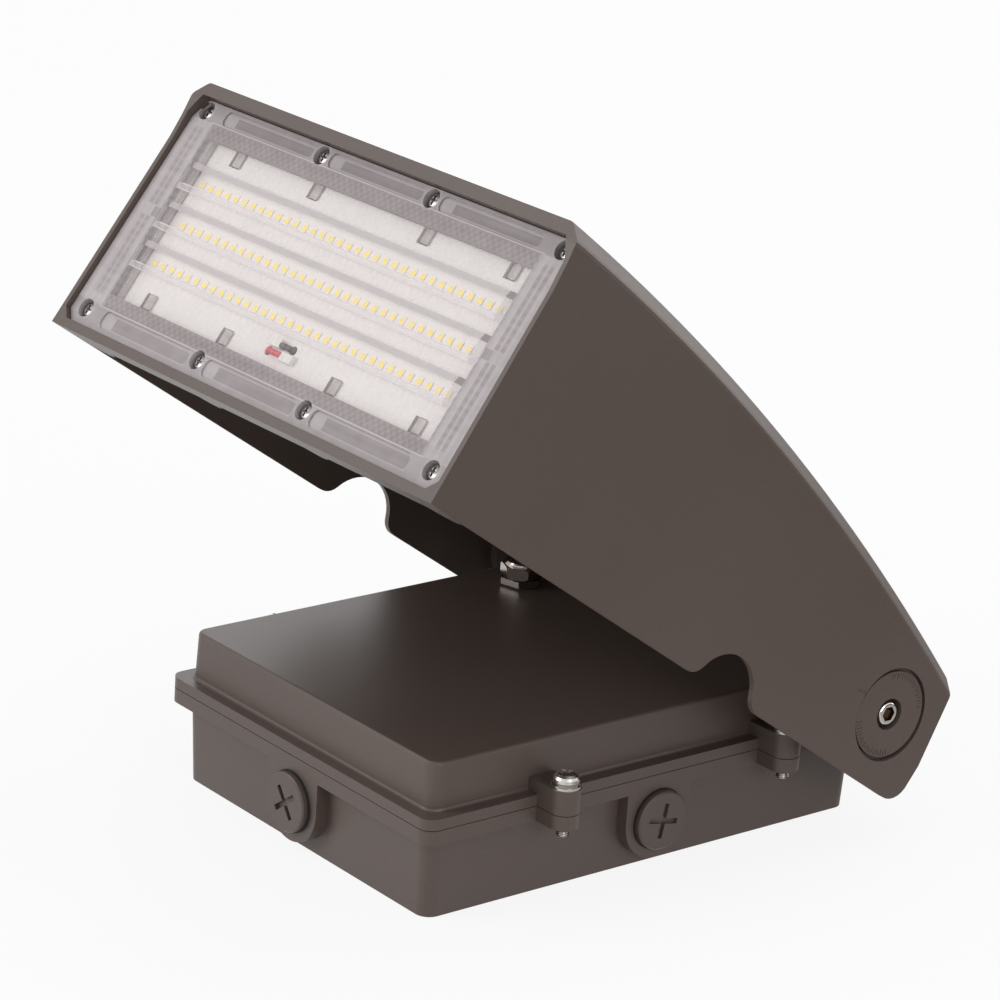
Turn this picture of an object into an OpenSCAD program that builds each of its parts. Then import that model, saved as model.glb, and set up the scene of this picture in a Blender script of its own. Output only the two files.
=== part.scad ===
// Wall pack light: a cast back box with a screwed cover, and a deep cast head that tilts on two pivots.
// Millimetres. +X runs along the pivot line, +Y runs up the wall, +Z stands out of the wall.
// The origin is the middle of the box face that lies on the wall.

/* [Back box] */
// Width of the box where it meets the wall
box_w = 153.6; // [150:0.1:157]
// Height of the box where it meets the wall
box_h = 210; // [204:0.5:216]
// Depth from the wall to the underside of the flange
box_depth = 32; // [30:0.5:34]
// Thickness of the cast walls of the box and its cover
wall_t = 3.5; // [3:0.1:4]
// Outward slope of the cast sides in degrees
draft = 2; // [1:0.25:2.5]
// Radius of the upright corners
corner_r = 5.6; // [5.2:0.1:7]
// How far the flange stands out from the box face on the wall
flange_out = 6.2; // [5.8:0.1:7]
// Thickness of the flange on the box
box_flange_t = 5.7; // [5:0.1:6.5]
// Distance between the wall screw holes across the box
wall_hole_x = 100; // [90:1:104]
// Distance between the wall screw holes up the box
wall_hole_y = 160; // [150:1:166]
// Radius of each wall screw hole
wall_hole_r = 2.75; // [2.5:0.05:3.25]
// Radius of the hole for wires in the back of the box
rear_entry_r = 11.1; // [10:0.1:12]

/* [Cover] */
// Thickness of the flange on the cover
cover_flange_t = 4.3; // [4:0.1:5]
// Height of the cover top above the wall
cover_top = 61.4; // [60.5:0.1:63]
// How far the foot of the raised part stands out from the box face on the wall
cover_out = 0.7; // [0.4:0.1:1.2]
// Radius of the edge around the cover top
cover_edge_r = 1.2; // [0.8:0.1:1.6]
// How far the middle of each cover screw stands outside the flange
lug_out = 8.5; // [8:0.1:9]
// Distance of the cover screws from the middle line, up and down
lug_y = 54.6; // [50:0.1:58]
// Radius of each screw lug
lug_r = 6; // [5.6:0.1:6.4]
// Height of the top of the cover lugs above the wall
lug_top = 47.5; // [46:0.1:49]

/* [Conduit openings] */
// Radius of the thread in each conduit opening
conduit_r = 10.45; // [10.3:0.05:10.6]
// Height of the conduit openings above the wall
conduit_z = 19.6; // [19:0.1:20]
// Radius of the raised boss around each opening
conduit_boss_r = 15.9; // [15.2:0.1:16.2]
// Radius of the sunk seat for the ring under each plug
plug_seat_r = 12.3; // [12.1:0.05:12.8]
// How far each plug stands proud of its boss
plug_out = 3.1; // [2.5:0.1:3.5]

/* [Fasteners] */
// Radius of the cover screws
cover_screw_r = 2.5; // [2.4:0.05:2.6]
// Length of the cover screws under the head
cover_screw_len = 21.8; // [20:0.1:23]
// Radius of the head on the cover screws
cover_head_r = 5.1; // [4.9:0.05:5.3]
// Radius of the lens screws
lens_screw_r = 1.95; // [1.8:0.05:2.1]
// Radius of the pivot screws
pivot_screw_r = 3.15; // [3:0.05:3.2]

/* [Pivot] */
// Distance of the pivot line below the upper end of the box
pivot_inset = 14.7; // [14:0.1:16]
// Height of the pivot line above the wall
pivot_z = 53.5; // [53:0.1:54]
// Radius of the hub that the head turns on
hub_r = 8; // [7.8:0.1:8.2]
// Running clearance around the hub
hub_clear = 0.05; // [0.03:0.01:0.08]
// Radius of the graduated discs
dial_r = 17.4; // [16.5:0.1:18]
// Gap between each graduated disc and the cheek round it
dial_gap = 1.5; // [0.5:0.1:2]
// Tilt of the head in degrees from lying flat over the box
rest_tilt = 34.21; // [0:0.01:55]

/* [Head] */
// Gap between the cover lugs and the inside of the cheeks at their wide end
head_room = 18.5; // [17:0.1:20]
// How much longer the head is than the box
head_over = 84.6; // [83:0.1:87]
// Height of the head at the lens end
head_height = 108.4; // [107:0.1:110]
// Drop of the roof along the head from its slope
roof_fall = 13.3; // [12:0.1:15]
// Drop of the roof along the head from its bow
roof_bow = 40.8; // [38:0.1:43]
// Thickness of the two cheeks
cheek_t = 2.4; // [2:0.1:2.6]
// Thickness of the top of the head
roof_t = 2.8; // [2.2:0.1:3.2]
// Width of the slanted strip between the top and each cheek
strip_w = 6.3; // [5.5:0.1:7]
// Height of the slanted strip between the top and each cheek
strip_h = 6; // [5:0.1:6.5]
// Radius of the arch in each cheek that clears a conduit
arch_r = 17.4; // [16:0.1:18]
// Thickness of each cooling fin
fin_t = 2.4; // [2:0.1:3]
// Number of cooling fins behind the lamp board
fin_count = 9; // [5:2:11]

/* [Lamp end] */
// Depth of the lens face behind the front edge
lens_set = 2.2; // [2:0.1:2.6]
// Thickness of the lens
lens_t = 1.8; // [1.6:0.1:2]
// Height of the raised bar over each lamp row
bar_h = 1.2; // [0.8:0.1:1.4]
// Depth of the lamp board face behind the front edge
board_set = 6.5; // [6.4:0.1:7]
// Thickness of the lamp board
board_t = 1.6; // [1:0.1:2]
// Distance of each end of the lamp board inside the lens
board_inset = 20.6; // [20:0.1:21.5]
// Distance of the end lamps from the ends of the lamp board
lamp_edge = 5.2; // [4.5:0.1:8]
// Number of lamps in the upper and lower rows
row_lamps = 34; // [20:1:34]
// Height of the lower lamp row above the lower edge of the lamp board
row_up = 17.7; // [17:0.1:18.5]
// Depth of the upper lamp row below the upper edge of the lamp board
row_down = 17.4; // [16.5:0.1:18]
// Thickness of the casting behind the lamp board
plate_t = 4; // [3:0.1:5]

/* [Hidden] */
$fn = 48;
bronze = [0.36, 0.32, 0.29];
steel = [0.74, 0.74, 0.73];
nickel = [0.70, 0.67, 0.62];
rubber = [0.13, 0.13, 0.13];
seam_gap = 0.3;
fit_gap = 0.15;
seat_gap = 0.05;
box_top = box_depth + box_flange_t;
seam_z = box_top + seam_gap;
flange_top = seam_z + cover_flange_t;
flange_w = box_w + 2 * flange_out;
flange_h = box_h + 2 * flange_out;
cover_roof = cover_top - wall_t + 0.5;
cover_w = box_w + 2 * cover_out;
cover_h = box_h + 2 * cover_out;
cover_taper = 0.6;
groove_w = 3;
groove_depth = 2;
groove_out = 2.2;
groove_corner_r = corner_r - 2;

lug_x = flange_w / 2 + lug_out;
ground_y = -62;
ground_h = 7;
ground_boss_r = 4.5;

// Screws that hold the cover
washer_t = 1;
lock_washer_t = 1.2;
cover_washer_r = 5.6;
cover_lock_r = 5.2;
cover_head_h = 3.9;

// Conduit plugs, and the turn of the cross in each, seen from outside
plug_seat_depth = 0.6;
plug_ring_t = 1.6;
plug_head_r = plug_seat_r - 0.5;
plug_shank = 8;
plug_turns = [-11, 28, 17, 36];
plug_cross = 14;
plug_slot = 2.2;
plug_slot_depth = 1.6;

// Cord gland on the cover
gland_x = 21.3 - cover_w / 2;
gland_y = cover_h / 2 - 64.4;
gland_r = 6.1;
gland_af = 15.5;
gland_ring_r = 7.9;
gland_ring_t = 0.8;
gland_collar_h = 2.6;
gland_nut_h = 4.9;
gland_dome_h = 3;
gland_bore_r = 3.6;
gland_tail = 9;
gland_stem = gland_ring_t + gland_collar_h + gland_nut_h - 1;
gland_nut_turn = -22;
gland_collar_turn = 14;
cord_seal_r = 2.6;
locknut_af = 16.6;
locknut_h = 3;

// Arms, hub and cheek recess, measured along the pivot line
splay_s = 0.025;
splay_v = 0.027;
head_len = box_h + head_over;
head_half_w = lug_x + lug_r + head_room + cheek_t;
pivot_y = box_h / 2 - pivot_inset;
pivot_s = head_len - 25.9;
pivot_v = 28.3;
cheek_x = half_w(pivot_s, pivot_v);
dial_t = 2;
dial_out_x = cheek_x - 0.7;
dial_in_x = dial_out_x - dial_t;
recess_x = dial_in_x - 0.1;
pad_x = recess_x - 2.6;
friction_t = 0.8;
arm_x = pad_x - 0.06 - friction_t;
arm_r = 10.5;
arm_rib_t = 7;
key_side = 11.2;
key_depth = 2.9;
pivot_head_r = 4.75;
pivot_head_h = 5;
pivot_head_seat = arm_x + 0.2;
pivot_screw_len = 16;
dial_hole_r = 6.4;
socket_af = 5.5;
recess_r = dial_r + dial_gap;
tick_w = 0.3;
tick_depth = 0.25;
pad_r = 22;

// Head shape
lean = 1.83;
front_s = 0.6;
station_count = 26;
station_step = (head_len + 12.4) / (station_count - 1);
arch_s = pivot_s - pivot_y - 1.4;
arch_drop = 2.4;
arch_blend_r = 7.5;
lip_depth = 18;
lip_t = 3;
fin_depth = 14;

// Lens, seal and lamp board, measured from the leaning front edge
window_half_w = head_half_w - 2.2;
window_low = 3.7;
window_high = head_height - 5.2;
lens_gap = 0.35;
lens_back = lens_set + lens_t;
seal_t = 0.9;
ledge_d = lens_back + seal_t;
plate_d = board_set + board_t;
plate_back = plate_d + plate_t;
board_half_w = window_half_w - board_inset;
board_rise = 16.1;
board_drop = 13.8;
board_low = window_low + board_rise;
board_high = window_high - board_drop;
board_mid = (board_low + board_high) / 2;
seal_clear = 0.9;
seal_low = board_low - seal_clear;
seal_high = board_high + seal_clear;
seal_half_w = board_half_w + seal_clear;
seal_w = 2.4;
pocket_clear = 0.6;
pocket_half_w = board_half_w + pocket_clear;
row_low = board_low + row_up;
row_high = board_high - row_down;
lamp_rows = [[row_high, row_lamps], [(row_low + row_high) / 2, row_lamps - 1], [row_low, row_lamps]];
lamp_pitch = 2 * (board_half_w - lamp_edge) / (row_lamps - 1);
lamp_w = 2.8;
lamp_len = 3.5;
lamp_h = 0.7;
bar_low = 5.1;
bar_foot = 1.5;
bar_high = 7.5;
bar_slope = 4.1;
bar_end = 3.8;
bar_half_w = board_half_w + 2.5;
lens_screw_in = 33.2;
lens_screw_out = window_half_w - 8.9;
lens_screw_x = [-lens_screw_out, -lens_screw_in, lens_screw_in, lens_screw_out];
lens_screw_low = window_low + 6.9;
lens_screw_high = window_high - 4.5;
lens_boss_r = 5.6;
lens_boss_d = 6.8;
lens_cup_r = 3.85;
lens_cup_floor = 1.3;
lens_head_r = 3.5;
lens_head_h = 2.2;
lens_head_seat = lens_boss_d - lens_cup_floor;
lens_screw_len = 13;
lens_bore_d = lens_head_seat + lens_screw_len + 0.5;
lens_dip = 0.7;
lens_dips = [[12 - lens_screw_out, -lens_screw_in - 5.3], [5.3 - lens_screw_in, lens_screw_in - 5.3],
    [lens_screw_in + 5.3, lens_screw_out - 12]];
lens_dip_h = [[window_low + 2.3, board_low - 6.8], [board_high + 6, window_high - 1.6]];
notch_out = board_half_w - 12.5;
notch_in = lens_screw_in + 0.3;
notch_x = [-notch_out, -notch_in, notch_in, notch_out];
notch_shift_low = 1.6;
notch_shift_high = 2.9;
notch_w = 6.5;
notch_h = 6.6;
fin_inset = 7.6;
fin_start = 2;
clip_t = 0.9;
clip_post_w = 1.9;
clip_hook_w = 4.3;
clip_start = 0.4;
clip_edge = 0.4;

// Leads on the board: the place of each hole and of the end that enters its terminal
lead_r = 1.15;
lead_hole_r = lead_r + 0.7;
lead_bend = 2.4;
lead_tail = 6;
red_lead_h = board_low + 5.6;
red_hole_x = -5.9;
red_end_x = 3.5;
black_lead_h = board_low + 9.1;
black_hole_x = 6.2;
black_end_x = 0.4;
terminal_len = 6.8;
terminal_wide = 3.4;
terminal_low = 1.5;
terminal_d = 2.1;

// Inside the box
driver_x = 22;
driver_w = 52;
driver_len = 126;
driver_h = 30;
driver_gap = 2;
tab_len = 9;
tab_t = 1.5;
inner_screw_r = 1.95;
block_x = -42;
block_w = 38;
block_tab_w = 16;
surge_y = -52;
surge_len = 34;
surge_h = 22;
joint_y = -8;
joint_len = 30;
joint_h = 16;
joint_hole = 6;

// Outline helpers

function half_w(s, v) = head_half_w - splay_s * s - splay_v * v;

function roof_v(s) = head_height - roof_fall * s / head_len - roof_bow * pow(s / head_len, 2);

function arc_points(cx, cy, r, a0, a1, n) =
    [for (i = [0:n]) let (a = a0 + (a1 - a0) * i / n) [cx + r * cos(a), cy + r * sin(a)]];

function soft_corner(p, a, b, leg) =
    let (pa = p + leg * (a - p) / norm(a - p), pb = p + leg * (b - p) / norm(b - p))
    [pa, (pa + 2 * p + pb) / 4, pb];

module round_rect(w, h, r) {
    square([w - 2 * r, h], center = true);
    square([w, h - 2 * r], center = true);
    for (sx = [-1, 1], sy = [-1, 1])
        translate([sx * (w / 2 - r), sy * (h / 2 - r)])
            circle(r);
}

// A block with rounded corners whose sides slope, given its size at both ends
module sloped_block(w0, h0, z0, w1, h1, z1, r) {
    hull() {
        translate([0, 0, z0])
            linear_extrude(0.01)
                round_rect(w0, h0, r, $fn = 32);
        translate([0, 0, z1 - 0.01])
            linear_extrude(0.01)
                round_rect(w1, h1, r, $fn = 32);
    }
}

module at_lugs() {
    for (sx = [-1, 1], sy = [-1, 1])
        translate([sx * lug_x, sy * lug_y, 0])
            children();
}

module at_wall_holes() {
    for (sx = [-1, 1], sy = [-1, 1])
        translate([sx * wall_hole_x / 2, sy * wall_hole_y / 2, 0])
            children();
}

// Places a child with its +X pointing out of each side of the box, at the flange edge
module at_conduits() {
    for (turn = [0:3]) {
        $plug_turn = plug_turns[turn];
        rotate([0, 0, 90 * turn])
            translate([turn % 2 == 0 ? flange_w / 2 : flange_h / 2, 0, conduit_z])
                children();
    }
}

// Places a child at the pivot of each side, with +X pointing out of the light
module at_pivots() {
    for (side = [0, 1])
        mirror([side, 0, 0])
            translate([0, pivot_y, pivot_z])
                children();
}

// A round bar along X from x0 to x1
module bar_x(r, x0, x1) {
    translate([x0, 0, 0])
        rotate([0, 90, 0])
            cylinder(r = r, h = x1 - x0);
}

// One lug with its web, from the wall of the box out to the rounded end
module lug(web_x, z0, z1) {
    translate([0, 0, z0]) {
        for (sx = [-1, 1], sy = [-1, 1])
            translate([sx * lug_x, sy * lug_y, 0])
                cylinder(r = lug_r, h = z1 - z0);
        for (sx = [-1, 1], sy = [-1, 1])
            translate([sx * (web_x + lug_x) / 2, sy * lug_y, (z1 - z0) / 2])
                cube([lug_x - web_x, 2 * lug_r, z1 - z0], center = true);
    }
}

// Cross for a screwdriver, sunk from z = 0 downwards
module cross_cut(span, slot, depth) {
    for (a = [0, 90])
        rotate([0, 0, a])
            translate([-span / 2, -slot / 2, -depth])
                cube([span, slot, depth + 1]);
}

// Pan head with a rounded rim, standing on z = 0
module pan_head(r, h, cross, slot) {
    rim = h * 0.6;
    difference() {
        rotate_extrude()
            polygon(concat([[0, 0], [r, 0]], arc_points(r - rim, h - rim, rim, 0, 75, 5), [[0, h]]));
        translate([0, 0, h])
            cross_cut(cross, slot, h * 0.55);
    }
}

// Base

module back_box() color(bronze) {
    wide = 2 * box_depth * tan(draft);
    difference() {
        union() {
            sloped_block(box_w, box_h, 0, box_w + wide, box_h + wide, box_depth + 0.5, corner_r);
            translate([0, 0, box_depth])
                linear_extrude(box_flange_t)
                    round_rect(flange_w, flange_h, corner_r);
            lug(flange_w / 2 - 2, box_depth, box_top);
            at_conduits() {
                bar_x(conduit_boss_r, -flange_out - wall_t, 0);
                translate([-flange_out - wall_t, -conduit_boss_r, 0])
                    cube([flange_out + wall_t, 2 * conduit_boss_r, box_depth - conduit_z + 1]);
            }
        }
        sloped_block(box_w - 2 * wall_t, box_h - 2 * wall_t, wall_t, box_w + wide - 2 * wall_t,
            box_h + wide - 2 * wall_t, box_top + 1, corner_r - wall_t);
        at_conduits() {
            bar_x(conduit_r + seat_gap, -flange_out - 3 * wall_t, 1);
            bar_x(plug_seat_r, -plug_seat_depth, 1);
        }
        at_lugs()
            translate([0, 0, box_depth - 1])
                cylinder(r = cover_screw_r + seat_gap, h = box_flange_t + 2);
        at_wall_holes()
            translate([0, 0, -1])
                cylinder(r = wall_hole_r, h = wall_t + 2);
        translate([0, 0, -1])
            cylinder(r = rear_entry_r, h = wall_t + 2);
        translate([0, 0, box_top - groove_depth])
            linear_extrude(groove_depth + 1)
                seal_ring();
    }
    translate([0, ground_y, wall_t - 0.5])
        difference() {
            cylinder(r = ground_boss_r, h = ground_h + 0.5);
            translate([0, 0, 0.5])
                cylinder(r = inner_screw_r + seat_gap, h = ground_h + 1);
        }
}
module seal_ring() {
    difference() {
        round_rect(box_w + 2 * groove_out, box_h + 2 * groove_out, groove_corner_r);
        round_rect(box_w + 2 * (groove_out - groove_w), box_h + 2 * (groove_out - groove_w),
            groove_corner_r - groove_w);
    }
}

module box_gasket() color(rubber) {
    translate([0, 0, box_top - groove_depth])
        linear_extrude(groove_depth + seam_gap)
            difference() {
                round_rect(box_w + 2 * groove_out - 2 * fit_gap, box_h + 2 * groove_out - 2 * fit_gap,
                    groove_corner_r - fit_gap);
                round_rect(box_w + 2 * (groove_out - groove_w + fit_gap),
                    box_h + 2 * (groove_out - groove_w + fit_gap), groove_corner_r - groove_w + fit_gap);
            }
}

module box_cover() color(bronze) {
    difference() {
        union() {
            translate([0, 0, seam_z])
                linear_extrude(cover_flange_t)
                    round_rect(flange_w, flange_h, corner_r);
            cover_dome();
            lug(cover_w / 2 - 2, seam_z, lug_top);
            at_pivots() {
                bar_x(arm_r, cover_w / 2 - cover_taper - 0.8, arm_x);
                translate([cover_w / 2 - 2, -arm_rib_t / 2, flange_top - pivot_z - 1])
                    cube([arm_x - 6 - cover_w / 2 + 2, arm_rib_t, pivot_z - flange_top + 1]);
            }
        }
        sloped_block(cover_w - 2 * wall_t, cover_h - 2 * wall_t, seam_z - 1,
            cover_w - 2 * cover_taper - 2 * wall_t, cover_h - 2 * cover_taper - 2 * wall_t, cover_roof,
            corner_r - wall_t);
        at_lugs()
            translate([0, 0, seam_z - 1])
                cylinder(r = cover_screw_r + 0.3, h = lug_top - seam_z + 2);
        at_pivots() {
            translate([arm_x - key_depth - 0.1, -key_side / 2 - 0.05, -key_side / 2 - 0.05])
                cube([key_depth + 1, key_side + 0.1, key_side + 0.1]);
            bar_x(pivot_screw_r + seat_gap, pivot_head_seat - pivot_screw_len - 1, arm_x);
        }
        translate([gland_x, gland_y, cover_roof - 1])
            cylinder(r = gland_r + 0.15, h = wall_t + 2);
    }
    at_inner_screws()
        difference() {
            translate([0, 0, cover_roof - driver_gap])
                cylinder(r = 4, h = driver_gap + 0.5);
            translate([0, 0, cover_roof - driver_gap - 1])
                cylinder(r = inner_screw_r + seat_gap, h = driver_gap + 1);
        }
}
// Raised part of the cover: sloping sides, a rounded top edge and a small cove at the foot
module cover_dome() {
    hull() {
        translate([0, 0, flange_top - 0.5])
            linear_extrude(0.01)
                round_rect(cover_w, cover_h, corner_r, $fn = 32);
        for (a = [0, 30, 60, 90]) {
            in = cover_taper + cover_edge_r * (1 - cos(a));
            translate([0, 0, cover_top - cover_edge_r * (1 - sin(a)) - 0.01])
                linear_extrude(0.01)
                    round_rect(cover_w - 2 * in, cover_h - 2 * in, corner_r - in + cover_taper, $fn = 32);
        }
    }
    for (step = [[1.2, 0.45], [0.45, 1.2]])
        sloped_block(cover_w + 2 * step[0], cover_h + 2 * step[0], flange_top - 0.1, cover_w, cover_h,
            flange_top + step[1], corner_r + step[0]);
}

module cover_screws() color(steel) {
    at_lugs()
        translate([0, 0, lug_top + washer_t + lock_washer_t]) {
            pan_head(cover_head_r, cover_head_h, 5.2, 1.1);
            translate([0, 0, -cover_screw_len + 0.8])
                cylinder(r = cover_screw_r, h = cover_screw_len - 0.7);
            translate([0, 0, -cover_screw_len])
                cylinder(r1 = cover_screw_r - 0.6, r2 = cover_screw_r, h = 0.8);
        }
}

module cover_washers() color(steel) {
    at_lugs()
        translate([0, 0, lug_top])
            difference() {
                cylinder(r = cover_washer_r, h = washer_t);
                translate([0, 0, -1])
                    cylinder(r = cover_screw_r + 0.2, h = washer_t + 2);
            }
}

module cover_lock_washers() color(steel) {
    at_lugs()
        translate([0, 0, lug_top + washer_t])
            difference() {
                cylinder(r = cover_lock_r, h = lock_washer_t);
                translate([0, 0, -1])
                    cylinder(r = cover_screw_r + 0.15, h = lock_washer_t + 2);
                rotate([0, 0, 20])
                    translate([0, -0.3, -1])
                        cube([cover_lock_r + 1, 0.6, lock_washer_t + 2]);
            }
}

module conduit_plugs() color(bronze) {
    foot = plug_ring_t - plug_seat_depth;
    thick = plug_out - foot;
    at_conduits()
        rotate([$plug_turn, 0, 0])
            translate([foot, 0, 0])
                difference() {
                    rotate([0, 90, 0])
                        rotate_extrude()
                            polygon([[0, -plug_shank], [conduit_r, -plug_shank], [conduit_r, 0],
                                [plug_head_r, 0], [plug_head_r, thick - 0.6], [plug_head_r - 0.6, thick],
                                [0, thick]]);
                    for (a = [0, 90])
                        rotate([a, 0, 0])
                            translate([thick - plug_slot_depth, -plug_cross / 2, -plug_slot / 2])
                                cube([plug_slot_depth + 1, plug_cross, plug_slot]);
                }
}

module plug_rings() color(rubber) {
    at_conduits()
        difference() {
            bar_x(plug_seat_r - fit_gap, -plug_seat_depth, -plug_seat_depth + plug_ring_t);
            bar_x(conduit_r + 0.1, -plug_seat_depth - 1, plug_ring_t);
        }
}

module at_gland() {
    translate([gland_x, gland_y, cover_top])
        children();
}

// Hexagonal prism across flats, with its corners turned by an angle
module hexagon(af, h, turn) {
    rotate([0, 0, turn])
        cylinder(r = af / sqrt(3), h = h, $fn = 6);
}

module gland_washer() color(rubber) {
    at_gland()
        difference() {
            cylinder(r = gland_ring_r, h = gland_ring_t);
            translate([0, 0, -1])
                cylinder(r = gland_r + 0.1, h = gland_ring_t + 2);
        }
}

module gland_body() color(nickel) {
    at_gland()
        difference() {
            union() {
                translate([0, 0, gland_ring_t])
                    hexagon(gland_af, gland_collar_h, gland_collar_turn);
                translate([0, 0, -gland_tail])
                    cylinder(r = gland_r, h = gland_tail + gland_stem);
            }
            translate([0, 0, -gland_tail - 1])
                cylinder(r = gland_bore_r, h = gland_tail + gland_stem + 2);
            translate([0, 0, gland_stem - 3])
                cylinder(r = gland_bore_r + 1.2, h = 4);
        }
}

module gland_nut() color(nickel) {
    dome_r = gland_af / 2 - 0.5;
    at_gland()
        translate([0, 0, gland_ring_t + gland_collar_h + 0.4])
            difference() {
                union() {
                    intersection() {
                        hexagon(gland_af, gland_nut_h, gland_nut_turn);
                        cylinder(r1 = gland_af / 2 + 0.5, r2 = gland_af / 2 + 4, h = gland_nut_h);
                        cylinder(r1 = gland_af / 2 + 4, r2 = gland_af / 2 + 0.5, h = gland_nut_h);
                    }
                    translate([0, 0, gland_nut_h])
                        rotate_extrude()
                            polygon(concat([[0, -0.1], [dome_r, -0.1]],
                                arc_points(dome_r - gland_dome_h, 0, gland_dome_h, 0, 80, 7),
                                [[0, gland_dome_h * sin(80)]]));
                }
                translate([0, 0, -1])
                    cylinder(r = gland_r + seat_gap, h = gland_nut_h);
                translate([0, 0, -1])
                    cylinder(r = gland_bore_r + 1.3, h = gland_nut_h + 2.4);
                cylinder(r = gland_bore_r, h = gland_nut_h + gland_dome_h + 1);
            }
}

module gland_seal() color(rubber) {
    at_gland()
        translate([0, 0, gland_stem - 3])
            difference() {
                cylinder(r = gland_bore_r + 1.1, h = 4.6);
                translate([0, 0, -1])
                    cylinder(r = cord_seal_r, h = 7);
            }
}

module gland_locknut() color(nickel) {
    translate([gland_x, gland_y, cover_roof - locknut_h])
        difference() {
            hexagon(locknut_af, locknut_h, 0);
            translate([0, 0, -1])
                cylinder(r = gland_r + seat_gap, h = locknut_h + 2);
        }
}

// Graduated disc with a hub that passes through the cheek and keys into the arm
module dial_discs() color(bronze) {
    at_pivots()
        difference() {
            union() {
                bar_x(dial_r, dial_in_x, dial_out_x);
                bar_x(hub_r, arm_x, dial_in_x + 0.1);
                translate([arm_x - key_depth, -key_side / 2, -key_side / 2])
                    cube([key_depth + 0.1, key_side, key_side]);
            }
            bar_x(dial_hole_r, pivot_head_seat, dial_out_x + 1);
            bar_x(pivot_screw_r + 0.2, arm_x - key_depth - 1, dial_out_x);
            for (a = [0:5:90], half = [0, 180]) {
                long = a % 10 == 0 ? 2.6 : 1.7;
                rotate([a - 90 + half, 0, 0])
                    translate([dial_out_x - tick_depth, -tick_w / 2, dial_r - 0.6 - long])
                        cube([1, tick_w, long]);
            }
        }
}

module pivot_screws() color(steel) {
    at_pivots()
        difference() {
            union() {
                bar_x(pivot_head_r, pivot_head_seat, pivot_head_seat + pivot_head_h);
                bar_x(pivot_screw_r, pivot_head_seat - pivot_screw_len, pivot_head_seat + 0.1);
            }
            translate([pivot_head_seat + pivot_head_h, 0, 0])
                rotate([0, 90, 0]) {
                    translate([0, 0, -2.8])
                        hexagon(socket_af, 4, 10);
                    translate([0, 0, -0.7])
                        cylinder(r1 = socket_af / 2, r2 = socket_af / 2 + 0.9, h = 0.8);
                }
        }
}

module friction_washers() color(steel) {
    at_pivots()
        difference() {
            bar_x(arm_r, arm_x, arm_x + friction_t);
            bar_x(hub_r + 0.1, arm_x - 1, arm_x + friction_t + 1);
        }
}

// Inside the box

module at_inner_screws() {
    for (p = [[driver_x, driver_len / 2 + tab_len / 2], [driver_x, -driver_len / 2 - tab_len / 2],
            [block_x, surge_y + surge_len / 2 + 5], [block_x, joint_y + joint_len / 2 + 5]])
        translate([p[0], p[1], 0])
            children();
}

module driver_case() color([0.85, 0.85, 0.83]) {
    top = cover_roof - driver_gap;
    difference() {
        union() {
            translate([driver_x - driver_w / 2, -driver_len / 2, top - driver_h])
                cube([driver_w, driver_len, driver_h]);
            translate([driver_x - driver_w / 2, -driver_len / 2 - tab_len, top - tab_t])
                cube([driver_w, driver_len + 2 * tab_len, tab_t]);
        }
        for (s = [-1, 1])
            translate([driver_x, s * (driver_len + tab_len) / 2, top - tab_t - 1])
                cylinder(r = inner_screw_r + 0.3, h = tab_t + 2);
    }
}

module inner_screws() color(steel) {
    at_inner_screws()
        translate([0, 0, cover_roof - driver_gap - tab_t])
            mirror([0, 0, 1]) {
                pan_head(3.8, 2.4, 4.2, 0.9);
                translate([0, 0, -driver_gap - tab_t + 0.3])
                    cylinder(r = inner_screw_r, h = driver_gap + tab_t - 0.2);
            }
}

// A small block hung under the cover, with one mounting tab at its upper end
module hung_block(y, len_y, h) {
    top = cover_roof - driver_gap;
    tab_y = y + len_y / 2 + 5;
    difference() {
        union() {
            translate([block_x - block_w / 2, y - len_y / 2, top - h])
                cube([block_w, len_y, h]);
            translate([block_x - block_tab_w / 2, tab_y - 6, top - tab_t])
                cube([block_tab_w, 11, tab_t]);
        }
        translate([block_x, tab_y, top - tab_t - 1])
            cylinder(r = inner_screw_r + 0.3, h = tab_t + 2);
    }
}

module surge_protector() color([0.16, 0.16, 0.17])
    hung_block(surge_y, surge_len, surge_h);

module terminal_block() color([0.82, 0.80, 0.74])
    difference() {
        hung_block(joint_y, joint_len, joint_h);
        for (i = [-1, 0, 1])
            translate([block_x + i * block_w / 3 - joint_hole / 2, joint_y - joint_len / 2 - 1,
                    cover_roof - driver_gap - joint_h / 2 - joint_hole / 2])
                cube([joint_hole, 12, joint_hole]);
    }

module ground_screw() color([0.16, 0.42, 0.22])
    translate([0, ground_y, wall_t + ground_h]) {
        pan_head(4.2, 2.6, 4.6, 1);
        translate([0, 0, -ground_h + 0.4])
            cylinder(r = inner_screw_r, h = ground_h - 0.3);
    }

// Head: everything below is placed in the head's own axes, s along it and v up from its open underside

module tilted() {
    translate([0, pivot_y, pivot_z])
        rotate([-rest_tilt, 0, 0])
            translate([0, -pivot_s, -pivot_v])
                children();
}

// Axes of the leaning front edge: x across, d into the head, h up
module front_axes() {
    translate([0, front_s, 0])
        rotate([-lean, 0, 0])
            children();
}

// Gives a flat outline in x and h a thickness from d0 to d1
module slab(d0, d1) {
    translate([0, d1, 0])
        rotate([90, 0, 0])
            linear_extrude(d1 - d0)
                children();
}

module bar_d(x, h, r, d0, d1) {
    translate([x, d0, h])
        rotate([-90, 0, 0])
            cylinder(r = r, h = d1 - d0);
}

function half_section(s, side_t, top_t) =
    let (
        roof = roof_v(s) - top_t,
        turn = 0.45 * top_t,
        low = [half_w(s, -8) - side_t, -8],
        a = [half_w(s, roof_v(s) - strip_h) - side_t, roof_v(s) - strip_h - turn],
        b = [half_w(s, roof_v(s)) - strip_w - turn, roof],
        mid = [0, roof]
    )
    concat([low], soft_corner(a, low, b, 1.3), soft_corner(b, a, mid, 1.3));

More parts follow.
